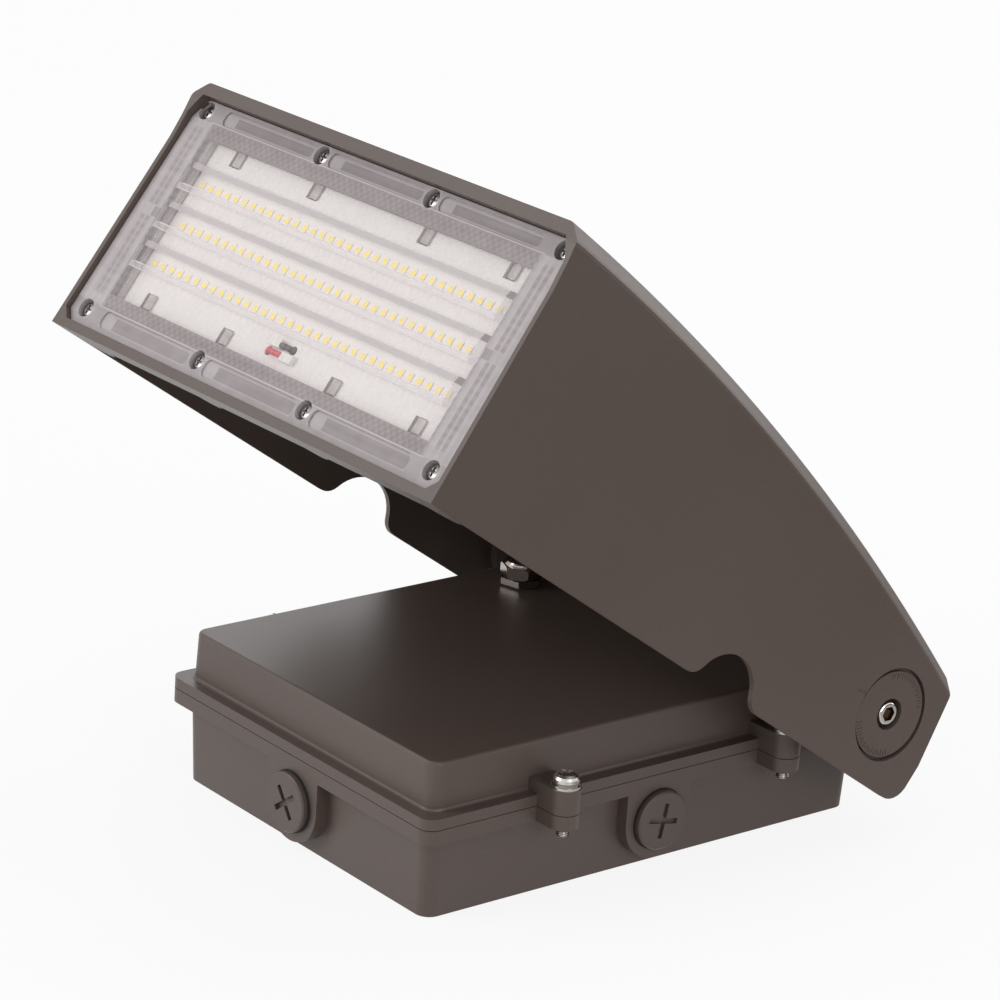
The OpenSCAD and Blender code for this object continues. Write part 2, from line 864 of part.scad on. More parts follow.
function full_section(s, side_t, top_t) =
    let (right = half_section(s, side_t, top_t), n = len(right))
    concat(right, [for (i = [n - 1:-1:0]) [-right[i][0], right[i][1]]]);

// Long skin of the head between two ends, drawn through evenly spaced sections
module head_skin(s0, side_t, top_t) {
    rings = [for (i = [0:station_count - 1]) full_section(s0 + i * station_step, side_t, top_t)];
    n = len(rings[0]);
    points = [for (i = [0:station_count - 1]) for (p = rings[i]) [p[0], s0 + i * station_step, p[1]]];
    sides = [for (i = [0:station_count - 2]) for (j = [0:n - 1])
        let (k = (j + 1) % n, a = i * n + j, b = i * n + k, c = a + n, d = b + n)
        for (face = [[a, b, c], [b, d, c]]) face];
    polyhedron(points, concat([[for (j = [n - 1:-1:0]) j]], sides,
        [[for (j = [0:n - 1]) (station_count - 1) * n + j]]));
}

// Outline of the head seen from the side, with the conduit arch in its lower edge
function side_outline() =
    let (
        rise = arch_blend_r + arch_drop,
        reach = sqrt(pow(arch_r + arch_blend_r, 2) - rise * rise),
        turn = atan2(rise, reach)
    )
    concat(
        [[front_s, 0]],
        arc_points(arch_s - reach, arch_blend_r, arch_blend_r, -90, -turn, 5),
        arc_points(arch_s, -arch_drop, arch_r, 180 - turn, turn, 16),
        arc_points(arch_s + reach, arch_blend_r, arch_blend_r, 180 + turn, 270, 5),
        arc_points(head_len - 6.6, 9.6, 9.6, -90, -12, 6),
        [[head_len + 3.8, 17.7], [head_len + 1.3, 45.3], [head_len, 60], [head_len, head_height + 11],
            [front_s + 1.3, head_height + 11], [front_s + 1.5, head_height - 7],
            [front_s + 2.3, head_height - 15], [front_s + 2.7, head_height - 25]]
    );

module side_prism(half) {
    translate([-half, 0, 0])
        rotate([90, 0, 90])
            linear_extrude(2 * half)
                polygon(side_outline());
}

function window_outline(in) =
    let (
        lo = window_low + in,
        hi = window_high - in,
        c = 4.3 - 0.55 * in,
        side = function (h) window_half_w - splay_v * h - in,
        right = [[side(lo) - c, lo], [side(lo + c), lo + c], [side(hi - 8), hi - 8], [side(hi) - c, hi]]
    )
    concat(right, [for (i = [3:-1:0]) [-right[i][0], right[i][1]]]);

module at_lens_screws() {
    for (x = lens_screw_x, h = [lens_screw_low, lens_screw_high])
        translate([x, 0, h])
            children();
}

module hood() color(bronze)
    tilted()
        difference() {
            intersection() {
                head_skin(-3, 0, 0);
                side_prism(head_half_w + 12);
            }
            difference() {
                head_skin(-2, cheek_t, roof_t);
                hood_insides();
            }
            front_axes() {
                slab(-5, ledge_d)
                    polygon(window_outline(0));
                slab(0, plate_d)
                    translate([0, board_mid])
                        square([2 * pocket_half_w, board_high - board_low + 2 * pocket_clear], center = true);
                slab(ledge_d - 0.1, lens_boss_d + 0.1)
                    boss_outline(0.3, 0);
                at_lens_screws()
                    bar_d(0, 0, lens_screw_r + seat_gap, 0, lens_bore_d);
                slab(0, plate_back + 1)
                    lead_holes();
            }
            for (side = [0, 1])
                mirror([side, 0, 0])
                    translate([0, pivot_s, pivot_v]) {
                        bar_x(recess_r, recess_x, cheek_x + 5);
                        bar_x(hub_r + hub_clear, pad_x - 1, cheek_x + 1);
                        for (line = [[24.8, 0.9], [22.8, 1.8]])
                            translate([cheek_x + tick_depth, -line[0], line[1]])
                                cube([3, line[0] - recess_r, tick_w]);
                    }
        }
// Outline of the screw bosses of the lens where they lie inside its edge
module boss_outline(grow, in) {
    intersection() {
        polygon(window_outline(in));
        for (x = lens_screw_x, h = [lens_screw_low, lens_screw_high])
            translate([x, h])
                circle(lens_boss_r + grow);
    }
}

module lead_holes() {
    for (p = [[red_hole_x, red_lead_h], [black_hole_x, black_lead_h]])
        translate(p)
            circle(lead_hole_r);
}

// Solid parts that stand inside the head: lamp end, lower lip, screw bosses, fins and pivot pads
module hood_insides() {
    front_axes() {
        translate([-head_half_w - 12, -6, -12])
            cube([2 * head_half_w + 24, plate_back + 6, head_height + 31]);
        at_lens_screws()
            bar_d(0, 0, lens_boss_r, 0, lens_bore_d + 2);
        for (i = [0:fin_count - 1]) {
            x = (2 * i / (fin_count - 1) - 1) * (board_half_w - fin_inset);
            translate([x - fin_t / 2, plate_back - 1, board_low + fin_start])
                cube([fin_t, fin_depth + 1, head_height]);
        }
    }
    translate([0, 0, -9])
        linear_extrude(lip_t + 9) {
            translate([-head_half_w - 12, -5])
                square([2 * head_half_w + 24, lip_depth + 5]);
            for (x = lens_screw_x)
                translate([x, lip_depth - 2])
                    circle(abs(x) > lens_screw_in ? 8.5 : 6.5);
        }
    for (side = [0, 1])
        mirror([side, 0, 0])
            translate([0, pivot_s, pivot_v])
                bar_x(pad_r, pad_x, cheek_x + 5);
}

// Bar along a lamp row: a flat face at depth d, a long slope above it, a short one below and sloped ends
module row_bar(h, grow, d) {
    half = bar_half_w + grow;
    low = h - bar_low - grow;
    high = h + bar_high + grow;
    foot = d + bar_h;
    intersection() {
        translate([-half, 0, 0])
            rotate([90, 0, 90])
                linear_extrude(2 * half)
                    polygon([[foot + 1, high], [foot, high], [d, high - bar_slope], [d, low + bar_foot],
                        [foot, low], [foot + 1, low]]);
        translate([0, 0, low])
            linear_extrude(high - low)
                polygon([[-half, foot + 1], [-half, foot], [bar_end - half, d], [half - bar_end, d],
                    [half, foot], [half, foot + 1]]);
    }
}

module rounded_slot(x0, x1, h0, h1, r) {
    translate([(x0 + x1) / 2, (h0 + h1) / 2])
        round_rect(x1 - x0, h1 - h0, r);
}

module lens() color([0.93, 0.94, 0.95, 0.35])
    tilted()
        front_axes()
            difference() {
                union() {
                    slab(lens_set, lens_back)
                        polygon(window_outline(lens_gap));
                    slab(lens_back - 0.1, lens_boss_d)
                        boss_outline(0, lens_gap);
                    for (row = lamp_rows)
                        row_bar(row[0], 0, lens_set - bar_h);
                }
                for (row = lamp_rows)
                    row_bar(row[0], -lens_t, lens_back - bar_h);
                at_lens_screws() {
                    bar_d(0, 0, lens_cup_r, 0, lens_head_seat);
                    bar_d(0, 0, lens_screw_r + 0.2, 0, lens_boss_d + 1);
                }
                slab(0, lens_set + lens_dip)
                    for (span = lens_dips, h = lens_dip_h)
                        rounded_slot(span[0], span[1], h[0], h[1], 2.5);
            }

module lens_seal() color([0.42, 0.41, 0.40])
    tilted()
        front_axes()
            slab(lens_back, ledge_d)
                translate([0, (seal_low + seal_high) / 2])
                    difference() {
                        round_rect(2 * (seal_half_w + seal_w), seal_high - seal_low + 2 * seal_w, 3.4);
                        round_rect(2 * seal_half_w, seal_high - seal_low, 1);
                    }

module lens_screws() color(steel)
    tilted()
        front_axes()
            at_lens_screws()
                translate([0, lens_head_seat, 0])
                    rotate([90, 0, 0]) {
                        pan_head(lens_head_r, lens_head_h, 4.2, 0.95);
                        translate([0, 0, -lens_screw_len])
                            cylinder(r = lens_screw_r, h = lens_screw_len + 0.1);
                    }

module lamp_board() color([0.93, 0.92, 0.90])
    tilted()
        front_axes()
            slab(board_set, plate_d)
                difference() {
                    translate([0, board_mid])
                        square([2 * board_half_w, board_high - board_low], center = true);
                    for (x = notch_x) {
                        translate([x + notch_shift_high - notch_w / 2, board_high - notch_h])
                            square([notch_w, notch_h + 1]);
                        translate([x + notch_shift_low - notch_w / 2, board_low - 1])
                            square([notch_w, notch_h + 1]);
                    }
                    lead_holes();
                }

module lamp_chips() color([0.95, 0.85, 0.45])
    tilted()
        front_axes()
            for (row = lamp_rows, i = [0:row[1] - 1]) {
                x = (i - (row[1] - 1) / 2) * lamp_pitch;
                translate([x - lamp_w / 2, board_set - lamp_h, row[0] - lamp_len / 2])
                    cube([lamp_w, lamp_h, lamp_len]);
            }

// Hooked clips that stand in the notches and hold the board edge down
module board_clips() color([0.86, 0.85, 0.83])
    tilted()
        front_axes()
            for (x = notch_x, top = [0, 1])
                translate([x + (top == 1 ? notch_shift_high : notch_shift_low), board_set - clip_t,
                        top == 1 ? board_high : board_low])
                    mirror([0, 0, top == 1 ? 0 : 1])
                        translate([-clip_start, 0, clip_edge - notch_h]) {
                            cube([clip_post_w, board_t + clip_t, notch_h - 2 * clip_edge]);
                            cube([clip_hook_w, clip_t, notch_h - 2 * clip_edge]);
                        }

// Push-in terminals, one where each lead ends
module lead_terminals() color([0.88, 0.87, 0.85])
    tilted()
        front_axes() {
            translate([red_end_x, board_set - terminal_d, red_lead_h - terminal_wide + terminal_low])
                cube([terminal_len, terminal_d, terminal_wide]);
            translate([black_end_x - terminal_len, board_set - terminal_d, black_lead_h - terminal_low])
                cube([terminal_len, terminal_d, terminal_wide]);
        }

// A lead that leaves its hole, bends over the board and enters its terminal
module lead(hole_x, end_x, h) {
    mid = board_set - lead_r - 0.1;
    thin = lead_r - 0.02;
    translate([hole_x, 0, h])
        mirror([end_x < hole_x ? 1 : 0, 0, 0]) {
            bar_d(0, 0, thin, mid + lead_bend - 0.3, plate_back + lead_tail);
            translate([lead_bend, mid + lead_bend, 0])
                rotate([0, 0, 180])
                    rotate_extrude(angle = 90)
                        translate([lead_bend, 0])
                            circle(lead_r, $fn = 24);
            translate([0, mid, 0])
                bar_x(thin, lead_bend - 0.3, abs(end_x - hole_x));
        }
}

module red_lead() color([0.78, 0.08, 0.09])
    tilted()
        front_axes()
            lead(red_hole_x, red_end_x, red_lead_h);

module black_lead() color([0.08, 0.07, 0.07])
    tilted()
        front_axes()
            lead(black_hole_x, black_end_x, black_lead_h);

back_box();
box_gasket();
box_cover();
cover_screws();
cover_washers();
cover_lock_washers();
conduit_plugs();
plug_rings();
gland_body();
gland_nut();
gland_seal();
gland_washer();
gland_locknut();
dial_discs();
pivot_screws();
friction_washers();
driver_case();
inner_screws();
surge_protector();
terminal_block();
ground_screw();
hood();
lens();
lens_seal();
lens_screws();
lamp_board();
lamp_chips();
board_clips();
lead_terminals();
red_lead();
black_lead();
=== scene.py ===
# %% [markdown]
# # Wall pack light
# This light is two castings joined by a pivot: a box that is screwed to the wall, and a deep hood
# that tilts over it. The measured solids come in ready made, each already in its place and in
# metres. What is left for this scene is how they look: the powder coat, the bare metal, the clear
# lens and what shines through it. A few small pieces are made again here with the detail that a
# close look finds.

import bpy
import bmesh
import math
from mathutils import Matrix, Vector


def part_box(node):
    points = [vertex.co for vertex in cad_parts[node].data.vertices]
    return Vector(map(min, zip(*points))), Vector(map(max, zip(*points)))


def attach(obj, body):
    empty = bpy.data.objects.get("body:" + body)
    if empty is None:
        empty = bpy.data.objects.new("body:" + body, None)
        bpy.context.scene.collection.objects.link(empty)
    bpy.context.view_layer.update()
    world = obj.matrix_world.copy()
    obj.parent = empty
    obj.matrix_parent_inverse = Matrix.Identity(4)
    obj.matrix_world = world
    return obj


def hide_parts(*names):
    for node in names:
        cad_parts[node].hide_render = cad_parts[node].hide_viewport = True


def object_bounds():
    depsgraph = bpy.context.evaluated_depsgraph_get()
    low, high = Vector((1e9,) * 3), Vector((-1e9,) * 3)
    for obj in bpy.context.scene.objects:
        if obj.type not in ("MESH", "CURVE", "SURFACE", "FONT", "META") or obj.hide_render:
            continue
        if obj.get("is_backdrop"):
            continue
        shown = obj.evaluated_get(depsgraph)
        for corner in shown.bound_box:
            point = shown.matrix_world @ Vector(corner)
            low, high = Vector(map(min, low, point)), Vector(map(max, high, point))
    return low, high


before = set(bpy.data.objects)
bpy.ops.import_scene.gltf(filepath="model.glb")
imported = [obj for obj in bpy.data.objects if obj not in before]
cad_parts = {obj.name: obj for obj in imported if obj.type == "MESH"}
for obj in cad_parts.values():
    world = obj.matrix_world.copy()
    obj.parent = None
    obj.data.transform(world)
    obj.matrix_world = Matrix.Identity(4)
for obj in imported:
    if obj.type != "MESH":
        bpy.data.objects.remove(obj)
measured_box = [list(corner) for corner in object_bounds()]

# %% [markdown]
# ## The camera
# A product shot like this is taken from well back with a long lens, so the near corner isn't blown
# up. The direction is given as a turn around the object and a rise above the table, and the camera
# leans a little. From these the three axes of the camera follow, and its place is a step back along
# its own axis.

# %% Place the camera
AZIMUTH = 0.8791
RISE = 0.3302
LEAN = 0.0672
DISTANCE = 1.60018
SIDEWAYS = -0.00708
UPWARDS = 0.11457
SENSOR = 36
PICTURE = 1000
FOCAL_IN_PIXELS = 4056.06

back = Vector((
    math.sin(AZIMUTH) * math.cos(RISE),
    -math.cos(AZIMUTH) * math.cos(RISE),
    math.sin(RISE),
))
level = Vector((math.cos(AZIMUTH), math.sin(AZIMUTH), 0))
upright = back.cross(level)
right = math.cos(LEAN) * level + math.sin(LEAN) * upright
up = math.cos(LEAN) * upright - math.sin(LEAN) * level

camera = bpy.data.objects.new("camera", bpy.data.cameras.new("camera"))
bpy.context.collection.objects.link(camera)
camera.data.lens = FOCAL_IN_PIXELS * SENSOR / PICTURE
camera.data.sensor_width = SENSOR
camera.data.clip_start = 0.1
camera.data.clip_end = 20
place = back * DISTANCE + right * SIDEWAYS + up * UPWARDS
camera.matrix_world = Matrix((
    (right.x, up.x, back.x, place.x),
    (right.y, up.y, back.y, place.y),
    (right.z, up.z, back.z, place.z),
    (0, 0, 0, 1),
))
bpy.context.scene.camera = camera
bpy.context.scene.view_settings.view_transform = "Standard"
print("camera at", [round(v, 3) for v in place])

# %% [markdown]
# ## Axes of the lamp end
# The lamp end leans back, so its pieces are easier to make in its own axes: x across, d into the
# head and h up the face. The lamp board's box gives the place: its lower front edge is the point
# of the box with the lowest y and z, corrected by the thickness of the board.

# %% Find the leaning face
REST_TILT = 34.21
FACE_LEAN = 1.83
SLOPE = math.radians(REST_TILT + FACE_LEAN)
BOARD_THICK = 0.0016
BOARD_SET = 0.0065
BOARD_LOW = 0.0198
ROW_UP = 0.0177
ROW_DOWN = 0.0174

board_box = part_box("lamp_board")
board_min, board_max = Vector(board_box[0]), Vector(board_box[1])
INTO = Vector((0, math.cos(SLOPE), -math.sin(SLOPE)))
UPFACE = Vector((0, math.sin(SLOPE), math.cos(SLOPE)))
low_edge = Vector((0, board_min.y, board_min.z + BOARD_THICK * math.sin(SLOPE)))
LENS_FOOT = low_edge - INTO * BOARD_SET - UPFACE * BOARD_LOW
BOARD_HALF = board_max.x
far_edge = Vector((0, board_max.y, board_max.z)) - LENS_FOOT
BOARD_HIGH = far_edge.dot(UPFACE) - BOARD_THICK * math.sin(SLOPE) * math.cos(SLOPE)
ROW_LOWEST = BOARD_LOW + ROW_UP
ROW_HIGHEST = BOARD_HIGH - ROW_DOWN
ROW_MIDDLES = [ROW_HIGHEST, (ROW_LOWEST + ROW_HIGHEST) / 2, ROW_LOWEST]
FACE_AXES = Matrix((
    (1, 0, 0, LENS_FOOT.x),
    (0, INTO.y, UPFACE.y, LENS_FOOT.y),
    (0, INTO.z, UPFACE.z, LENS_FOOT.z),
    (0, 0, 0, 1),
))
print("lamp rows at", [round(v * 1000, 1) for v in ROW_MIDDLES], "mm")
print("board up to", round(BOARD_HIGH * 1000, 2), "mm")

# %% [markdown]
# ## Writing a material as sums
# A finish is easier to read as arithmetic than as a chain of nodes. The class Wire stands for one
# value that varies over the surface, and each sum on it adds a Math node. Finish holds the
# material, and its method add makes any other node: its type, its settings, and what goes into its
# sockets.

# %% Helpers for finishes
class Wire:
    """A value that varies over a surface. Arithmetic on it adds Math nodes."""

    def __init__(self, finish, socket):
        self.finish = finish
        self.socket = socket

    def maths(self, operation, first, second=0.0):
        return self.finish.add("ShaderNodeMath", {"operation": operation}, {0: first, 1: second})

    def __add__(self, other):
        return self.maths("ADD", self, other)

    def __radd__(self, other):
        return self.maths("ADD", other, self)

    def __sub__(self, other):
        return self.maths("SUBTRACT", self, other)

    def __rsub__(self, other):
        return self.maths("SUBTRACT", other, self)

    def __mul__(self, other):
        return self.maths("MULTIPLY", self, other)

    def __rmul__(self, other):
        return self.maths("MULTIPLY", other, self)

    def over(self, edge):
        return self.maths("GREATER_THAN", self, edge)

    def under(self, edge):
        return self.maths("LESS_THAN", self, edge)

    def within(self, low, high):
        return self.over(low) * self.under(high)

    def size(self):
        return self.maths("ABSOLUTE", self)

    def ripple(self, pitch):
        """A sine wave, from -1 to 1, that repeats once in each pitch."""
        return self.maths("SINE", self * (2 * math.pi / pitch))


class Finish:
    """A material whose nodes are added one at a time."""

    def __init__(self, name, color, roughness, **plain):
        self.material = bpy.data.materials.new(name)
        self.material.use_nodes = True
        self.tree = self.material.node_tree
        self.shader = self.tree.nodes["Principled BSDF"]
        self.shader.inputs["Base Color"].default_value = (*color, 1)
        self.shader.inputs["Roughness"].default_value = roughness
        for socket, value in plain.items():
            self.shader.inputs[socket.replace("_", " ")].default_value = value

    def add(self, kind, settings=None, sockets=None, out=0):
        node = self.tree.nodes.new(kind)
        for name, value in (settings or {}).items():
            setattr(node, name, value)
        for name, value in (sockets or {}).items():
            self.feed(node.inputs[name], value)
        return Wire(self, node.outputs[out])

    def feed(self, socket, value):
        if isinstance(value, Wire):
            self.tree.links.new(value.socket, socket)
        else:
            socket.default_value = value

    def drive(self, name, value):
        self.feed(self.shader.inputs[name], value)

    def spots(self, scale, detail=2.0, stretch=(1, 1, 1)):
        """Soft random spots on the piece's own coordinates, from 0 to 1."""
        place = self.add("ShaderNodeTexCoord", out="Object")
        place = self.add("ShaderNodeMapping", {}, {"Vector": place, "Scale": stretch})
        noise = {"Vector": place, "Scale": scale, "Detail": detail}
        return self.add("ShaderNodeTexNoise", {}, noise)

    def axes(self):
        """The three coordinates of the piece, each as a value."""
        place = self.add("ShaderNodeTexCoord", out="Object")
        split = self.add("ShaderNodeSeparateXYZ", {}, {0: place}).socket.node
        return [Wire(self, split.outputs[i]) for i in range(3)]

    def blend(self, share, first, second):
        """A colour between two colours."""
        node = self.tree.nodes.new("ShaderNodeMix")
        node.data_type = "RGBA"
        self.feed(node.inputs[0], share)
        for socket, color in ((node.inputs[6], first), (node.inputs[7], second)):
            self.feed(socket, color if isinstance(color, Wire) else (*color, 1))
        return Wire(self, node.outputs[2])

    def mottle(self, share, first, second):
        """Lets the colour wander between two colours."""
        self.drive("Base Color", self.blend(share, first, second))

    def bumps(self, height, depth):
        """Turns a height into a surface relief, depth metres from 0 to 1."""
        relief = self.add("ShaderNodeBump", {}, {"Height": height, "Distance": depth})
        self.drive("Normal", relief)


def tone(red, green, blue):
    """A screen colour, 0 to 255 a channel, as the linear numbers a shader takes."""
    def straight(value):
        value /= 255
        return value / 12.92 if value <= 0.04045 else ((value + 0.055) / 1.055) ** 2.4
    return straight(red), straight(green), straight(blue)


def grained(name, color, grain, lowest, span, relief=0.0, **plain):
    """A finish whose roughness goes up from the lowest value, by the span, with a fine grain."""
    finish = Finish(name, color, lowest + span / 2, **plain)
    spots = finish.spots(*grain)
    finish.drive("Roughness", lowest + spots * span)
    if relief:
        finish.bumps(spots, relief)
    return finish


print("helpers ready")

# %% [markdown]
# ## Powder coat
# The castings are sprayed with a dry bronze powder and baked. The coat is satin, flows into a very
# shallow orange peel, and carries specks as fine as sand. Two noises do it: one of about a
# millimetre for the peel, and a finer one for the specks. A third, as wide as a hand, keeps large
# faces from looking flat.

# %% Dark bronze powder coat
COAT_GLOSS = 0.45
COAT_RELIEF = 0.00006
PEEL = (700, 2)
SPECKS = (1900, 3)
CLOUDS = (9, 2)


def powder_coat(name):
    """The bronze coat, with the wire of its colour so that painted light can be laid over it."""
    finish = Finish(name, tone(83, 71, 65), 0.42, Specular_IOR_Level=COAT_GLOSS)
    peel, specks, clouds = (finish.spots(*kind) for kind in (PEEL, SPECKS, CLOUDS))
    shade = finish.blend(clouds * 0.35 + specks * 0.65, tone(71, 60, 54), tone(95, 82, 76))
    finish.drive("Base Color", shade)
    finish.drive("Roughness", 0.34 + peel * 0.06 + specks * 0.1)
    finish.bumps(peel * 0.7 + specks * 0.3, COAT_RELIEF)
    return finish, shade


coat, _ = powder_coat("bronze_powder_coat")
print("coat:", coat.material.name)

# %% [markdown]
# ## The pale strip behind the lens
# Through the clear border of the lens, the wall of the hood looks pale, because the lens throws the
# lamps' light on it. This light is painted: a strip of the hood's own coat is made pale for it, and
# only where the wall faces the lamps: between two depths behind the front, and inside the outer
# faces of the hood.

# %% The hood, with the painted light strip that shows through its lens
PAINTED_LIGHT_DEPTHS = (0.0036, 0.0079)
PAINTED_LIGHT_HEIGHTS = (0.0035, 0.1035)
PAINTED_LIGHT_HALF = 0.1155
PAINTED_LIGHT_CORNER = 0.2125


def face_axes(finish):
    """The distance across, the depth into the head and the height up the lamp end."""
    across, along, upwards = finish.axes()
    from_foot, above_foot = along - LENS_FOOT.y, upwards - LENS_FOOT.z
    inward = from_foot * math.cos(SLOPE) - above_foot * math.sin(SLOPE)
    height = from_foot * math.sin(SLOPE) + above_foot * math.cos(SLOPE)
    return across, inward, height


hood_coat, hood_shade = powder_coat("bronze_coat_of_hood")
across, inward, height = face_axes(hood_coat)
# Painted light: the coat is made pale in a strip where the lens throws the lamps' light.
painted_light_strip = inward.within(*PAINTED_LIGHT_DEPTHS) * height.within(*PAINTED_LIGHT_HEIGHTS)
painted_light_strip = painted_light_strip * across.size().under(PAINTED_LIGHT_HALF) * (across.size() + height).under(PAINTED_LIGHT_CORNER)
hood_coat.mottle(painted_light_strip, hood_shade, tone(190, 181, 179))
print("coat:", hood_coat.material.name)

# %% [markdown]
# ## Bare metals
# The screws and washers are stainless steel, and the cord gland is plated brass. Steel and nickel
# differ mostly in tint and in how sharp their reflections are. Each finish gets a grain in its
# roughness, so none of them is evenly smooth.

# %% Metals
METAL_GRAIN = (2600, 3)
BRUSHED_GRAIN = (2600, 3, (1, 1, 6))

steel = grained(
    "stainless_steel", tone(204, 199, 193), BRUSHED_GRAIN, 0.16, 0.16, 0.00002, Metallic=1.0)
polished_steel = grained(
    "polished_steel", tone(224, 218, 210), METAL_GRAIN, 0.06, 0.08, Metallic=1.0)
dull_steel = grained("dull_steel", tone(150, 146, 142), METAL_GRAIN, 0.24, 0.16, Metallic=1.0)
nickel = grained("plated_nickel", tone(166, 154, 148), (1200, 3), 0.14, 0.12, Metallic=1.0)

# The inside of the pivot screws' sockets gets painted shade, a darker colour, as the hollow mirrors
# only itself.
SOCKET_CORNER = 0.0033
SOCKET_MOUTH = 0.0003
pivot_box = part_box("pivot_screws")
across, along, upwards = polished_steel.axes()
off_y = along - (pivot_box[0][1] + pivot_box[1][1]) / 2
off_z = upwards - (pivot_box[0][2] + pivot_box[1][2]) / 2
painted_socket_shade = (off_y * off_y + off_z * off_z).under(SOCKET_CORNER ** 2)
painted_socket_shade = painted_socket_shade * across.size().under(pivot_box[1][0] - SOCKET_MOUTH)
polished_steel.mottle(painted_socket_shade, tone(232, 224, 216), tone(128, 112, 100))
print("metals made")

# %% [markdown]
# ## Rubber and plastics
# Moulded pieces keep the fine grain of their mould. The seal and the clips are seen through the
# flutes of the lens, which makes them look mottled, so their colour wanders between two tones.

# %% Rubber and plastics
PLASTIC_GRAIN = (1800, 2)
SMOOTH_GRAIN = (1500, 2)
MOULDED_GRAIN = (1500, 3)

rubber = grained("black_rubber", tone(30, 29, 28), (2200, 3), 0.62, 0.2, 0.00005)
white_plastic = grained("white_plastic", tone(228, 224, 218), PLASTIC_GRAIN, 0.38, 0.15)
black_plastic = grained("black_plastic", tone(36, 36, 38), PLASTIC_GRAIN, 0.42, 0.2)
green_paint = grained("green_screw", tone(36, 106, 54), SMOOTH_GRAIN, 0.28, 0.2)
red_sleeve = grained("red_lead_sleeve", tone(206, 22, 32), SMOOTH_GRAIN, 0.34, 0.15)
black_sleeve = grained("black_lead_sleeve", tone(12, 11, 12), SMOOTH_GRAIN, 0.36, 0.15)

silicone = Finish("grey_silicone", tone(170, 161, 159), 0.55)
silicone_grain = silicone.spots(*MOULDED_GRAIN)
silicone.mottle(silicone_grain, tone(150, 141, 139), tone(200, 192, 190))
silicone.bumps(silicone_grain, 0.00008)

clip_plastic = Finish("natural_clip_plastic", tone(176, 167, 162), 0.4)
clip_plastic.mottle(clip_plastic.spots(260, 2), tone(142, 133, 129), tone(206, 199, 195))

driver_paint = Finish("driver_paint", tone(214, 213, 208), 0.4)
driver_paint.bumps(driver_paint.spots(*MOULDED_GRAIN), 0.00004)
print("rubber and plastics made")

# %% [markdown]
# ## Board and phosphor
# The board is white solder mask. Each lamp is a small white package filled with yellow phosphor,
# which is never quite even, so its yellow wanders a little from lamp to lamp.

# %% Board and phosphor
board = grained("white_solder_mask", tone(233, 228, 224), (900, 2), 0.42, 0.15)
board.mottle(board.spots(60, 2), tone(228, 223, 219), tone(238, 233, 229))

phosphor = Finish("lamp_phosphor", tone(254, 228, 124), 0.5)
phosphor.mottle(phosphor.spots(900, 2), tone(254, 222, 106), tone(255, 234, 140))

package_white = grained("lamp_package_white", tone(236, 230, 222), (1200, 2), 0.44, 0.14)
print("board and lamp finishes made")

# %% [markdown]
# ## The lens
# The lens is one moulded sheet of clear plastic. Its middle lets the board show through: fine
# flutes run up it, and over each row of lamps lies a raised bar with a slope above, a face in the
# middle and a foot below. The border is mottled and hazy, so it hides more. All of this is one
# finish: masks made from the lens's own coordinates say where each part lies, and each part moves
# the colour and the alpha a little. Alpha also goes up where the eye meets the lens at a glancing
# angle, as a real clear sheet reflects more there.

# %% Coordinates and patterns on the lens
FLUTE_PITCH = 0.0035
LENS_FRONT = 0.0030

lens_clear = Finish("clear_lens", tone(236, 230, 230), 0.06)
across, inward, height = face_axes(lens_clear)
reach = across.size()
front = inward.under(LENS_FRONT)
ridge = across.ripple(FLUTE_PITCH)
wave = height.ripple(FLUTE_PITCH)
checks = ridge * wave
rim = lens_clear.add("ShaderNodeLayerWeight", {}, {"Blend": 0.3}, out="Facing")
haze = lens_clear.spots(160, 3)
streaks = lens_clear.spots(260, 2, (0.06, 1, 1))
print("lens axes ready")

# %% Clear middle of the lens, with its bars
CLEAR_HEIGHTS = (0.0193, 0.0886)
BAR_END = 0.0987
BAR_FACE_END = 0.0953
BAR_SLOPE = (0.0039, 0.0066)
BAR_FACE = (-0.0027, 0.0039)
BAR_FOOT = (-0.0053, -0.0027)
FOOT_LINES = ((-0.0032, -0.0028), (-0.0053, -0.0049))


def patch(half_from, half_to, low, high):
    """A rectangle on both halves of the lens, from distances off its middle and heights."""
    return reach.within(half_from, half_to) * height.within(low, high)


def across_middle(half_to, low, high):
    """A rectangle over the middle of the lens."""
    return reach.under(half_to) * height.within(low, high)


clear = across_middle(BAR_END, *CLEAR_HEIGHTS)
nothing = 0.0 * height
slopes, faces, feet, foot_lines = nothing, nothing, nothing, nothing
for middle in ROW_MIDDLES:
    rise = height - middle
    slopes = slopes + rise.within(*BAR_SLOPE)
    faces = faces + rise.within(*BAR_FACE)
    feet = feet + rise.within(*BAR_FOOT)
    for line in FOOT_LINES:
        foot_lines = foot_lines + rise.within(*line)
on_bar = (slopes + faces + feet) * reach.under(BAR_END)
slopes = slopes * reach.under(BAR_END)
faces = faces * reach.under(BAR_FACE_END)
foot_lines = foot_lines * reach.under(BAR_FACE_END)
bar_ends = on_bar * reach.over(BAR_FACE_END)
fluted = clear * (1.0 - on_bar)
print("bars of the lens ready")

# %% [markdown]
# ## The border of the lens
# Around the clear middle runs a darker band, with a thin pale line outside it. Eight screws sit in
# round seats, long shallow dips lie between them above and below, and two grooves run up each side
# with a break in the middle.

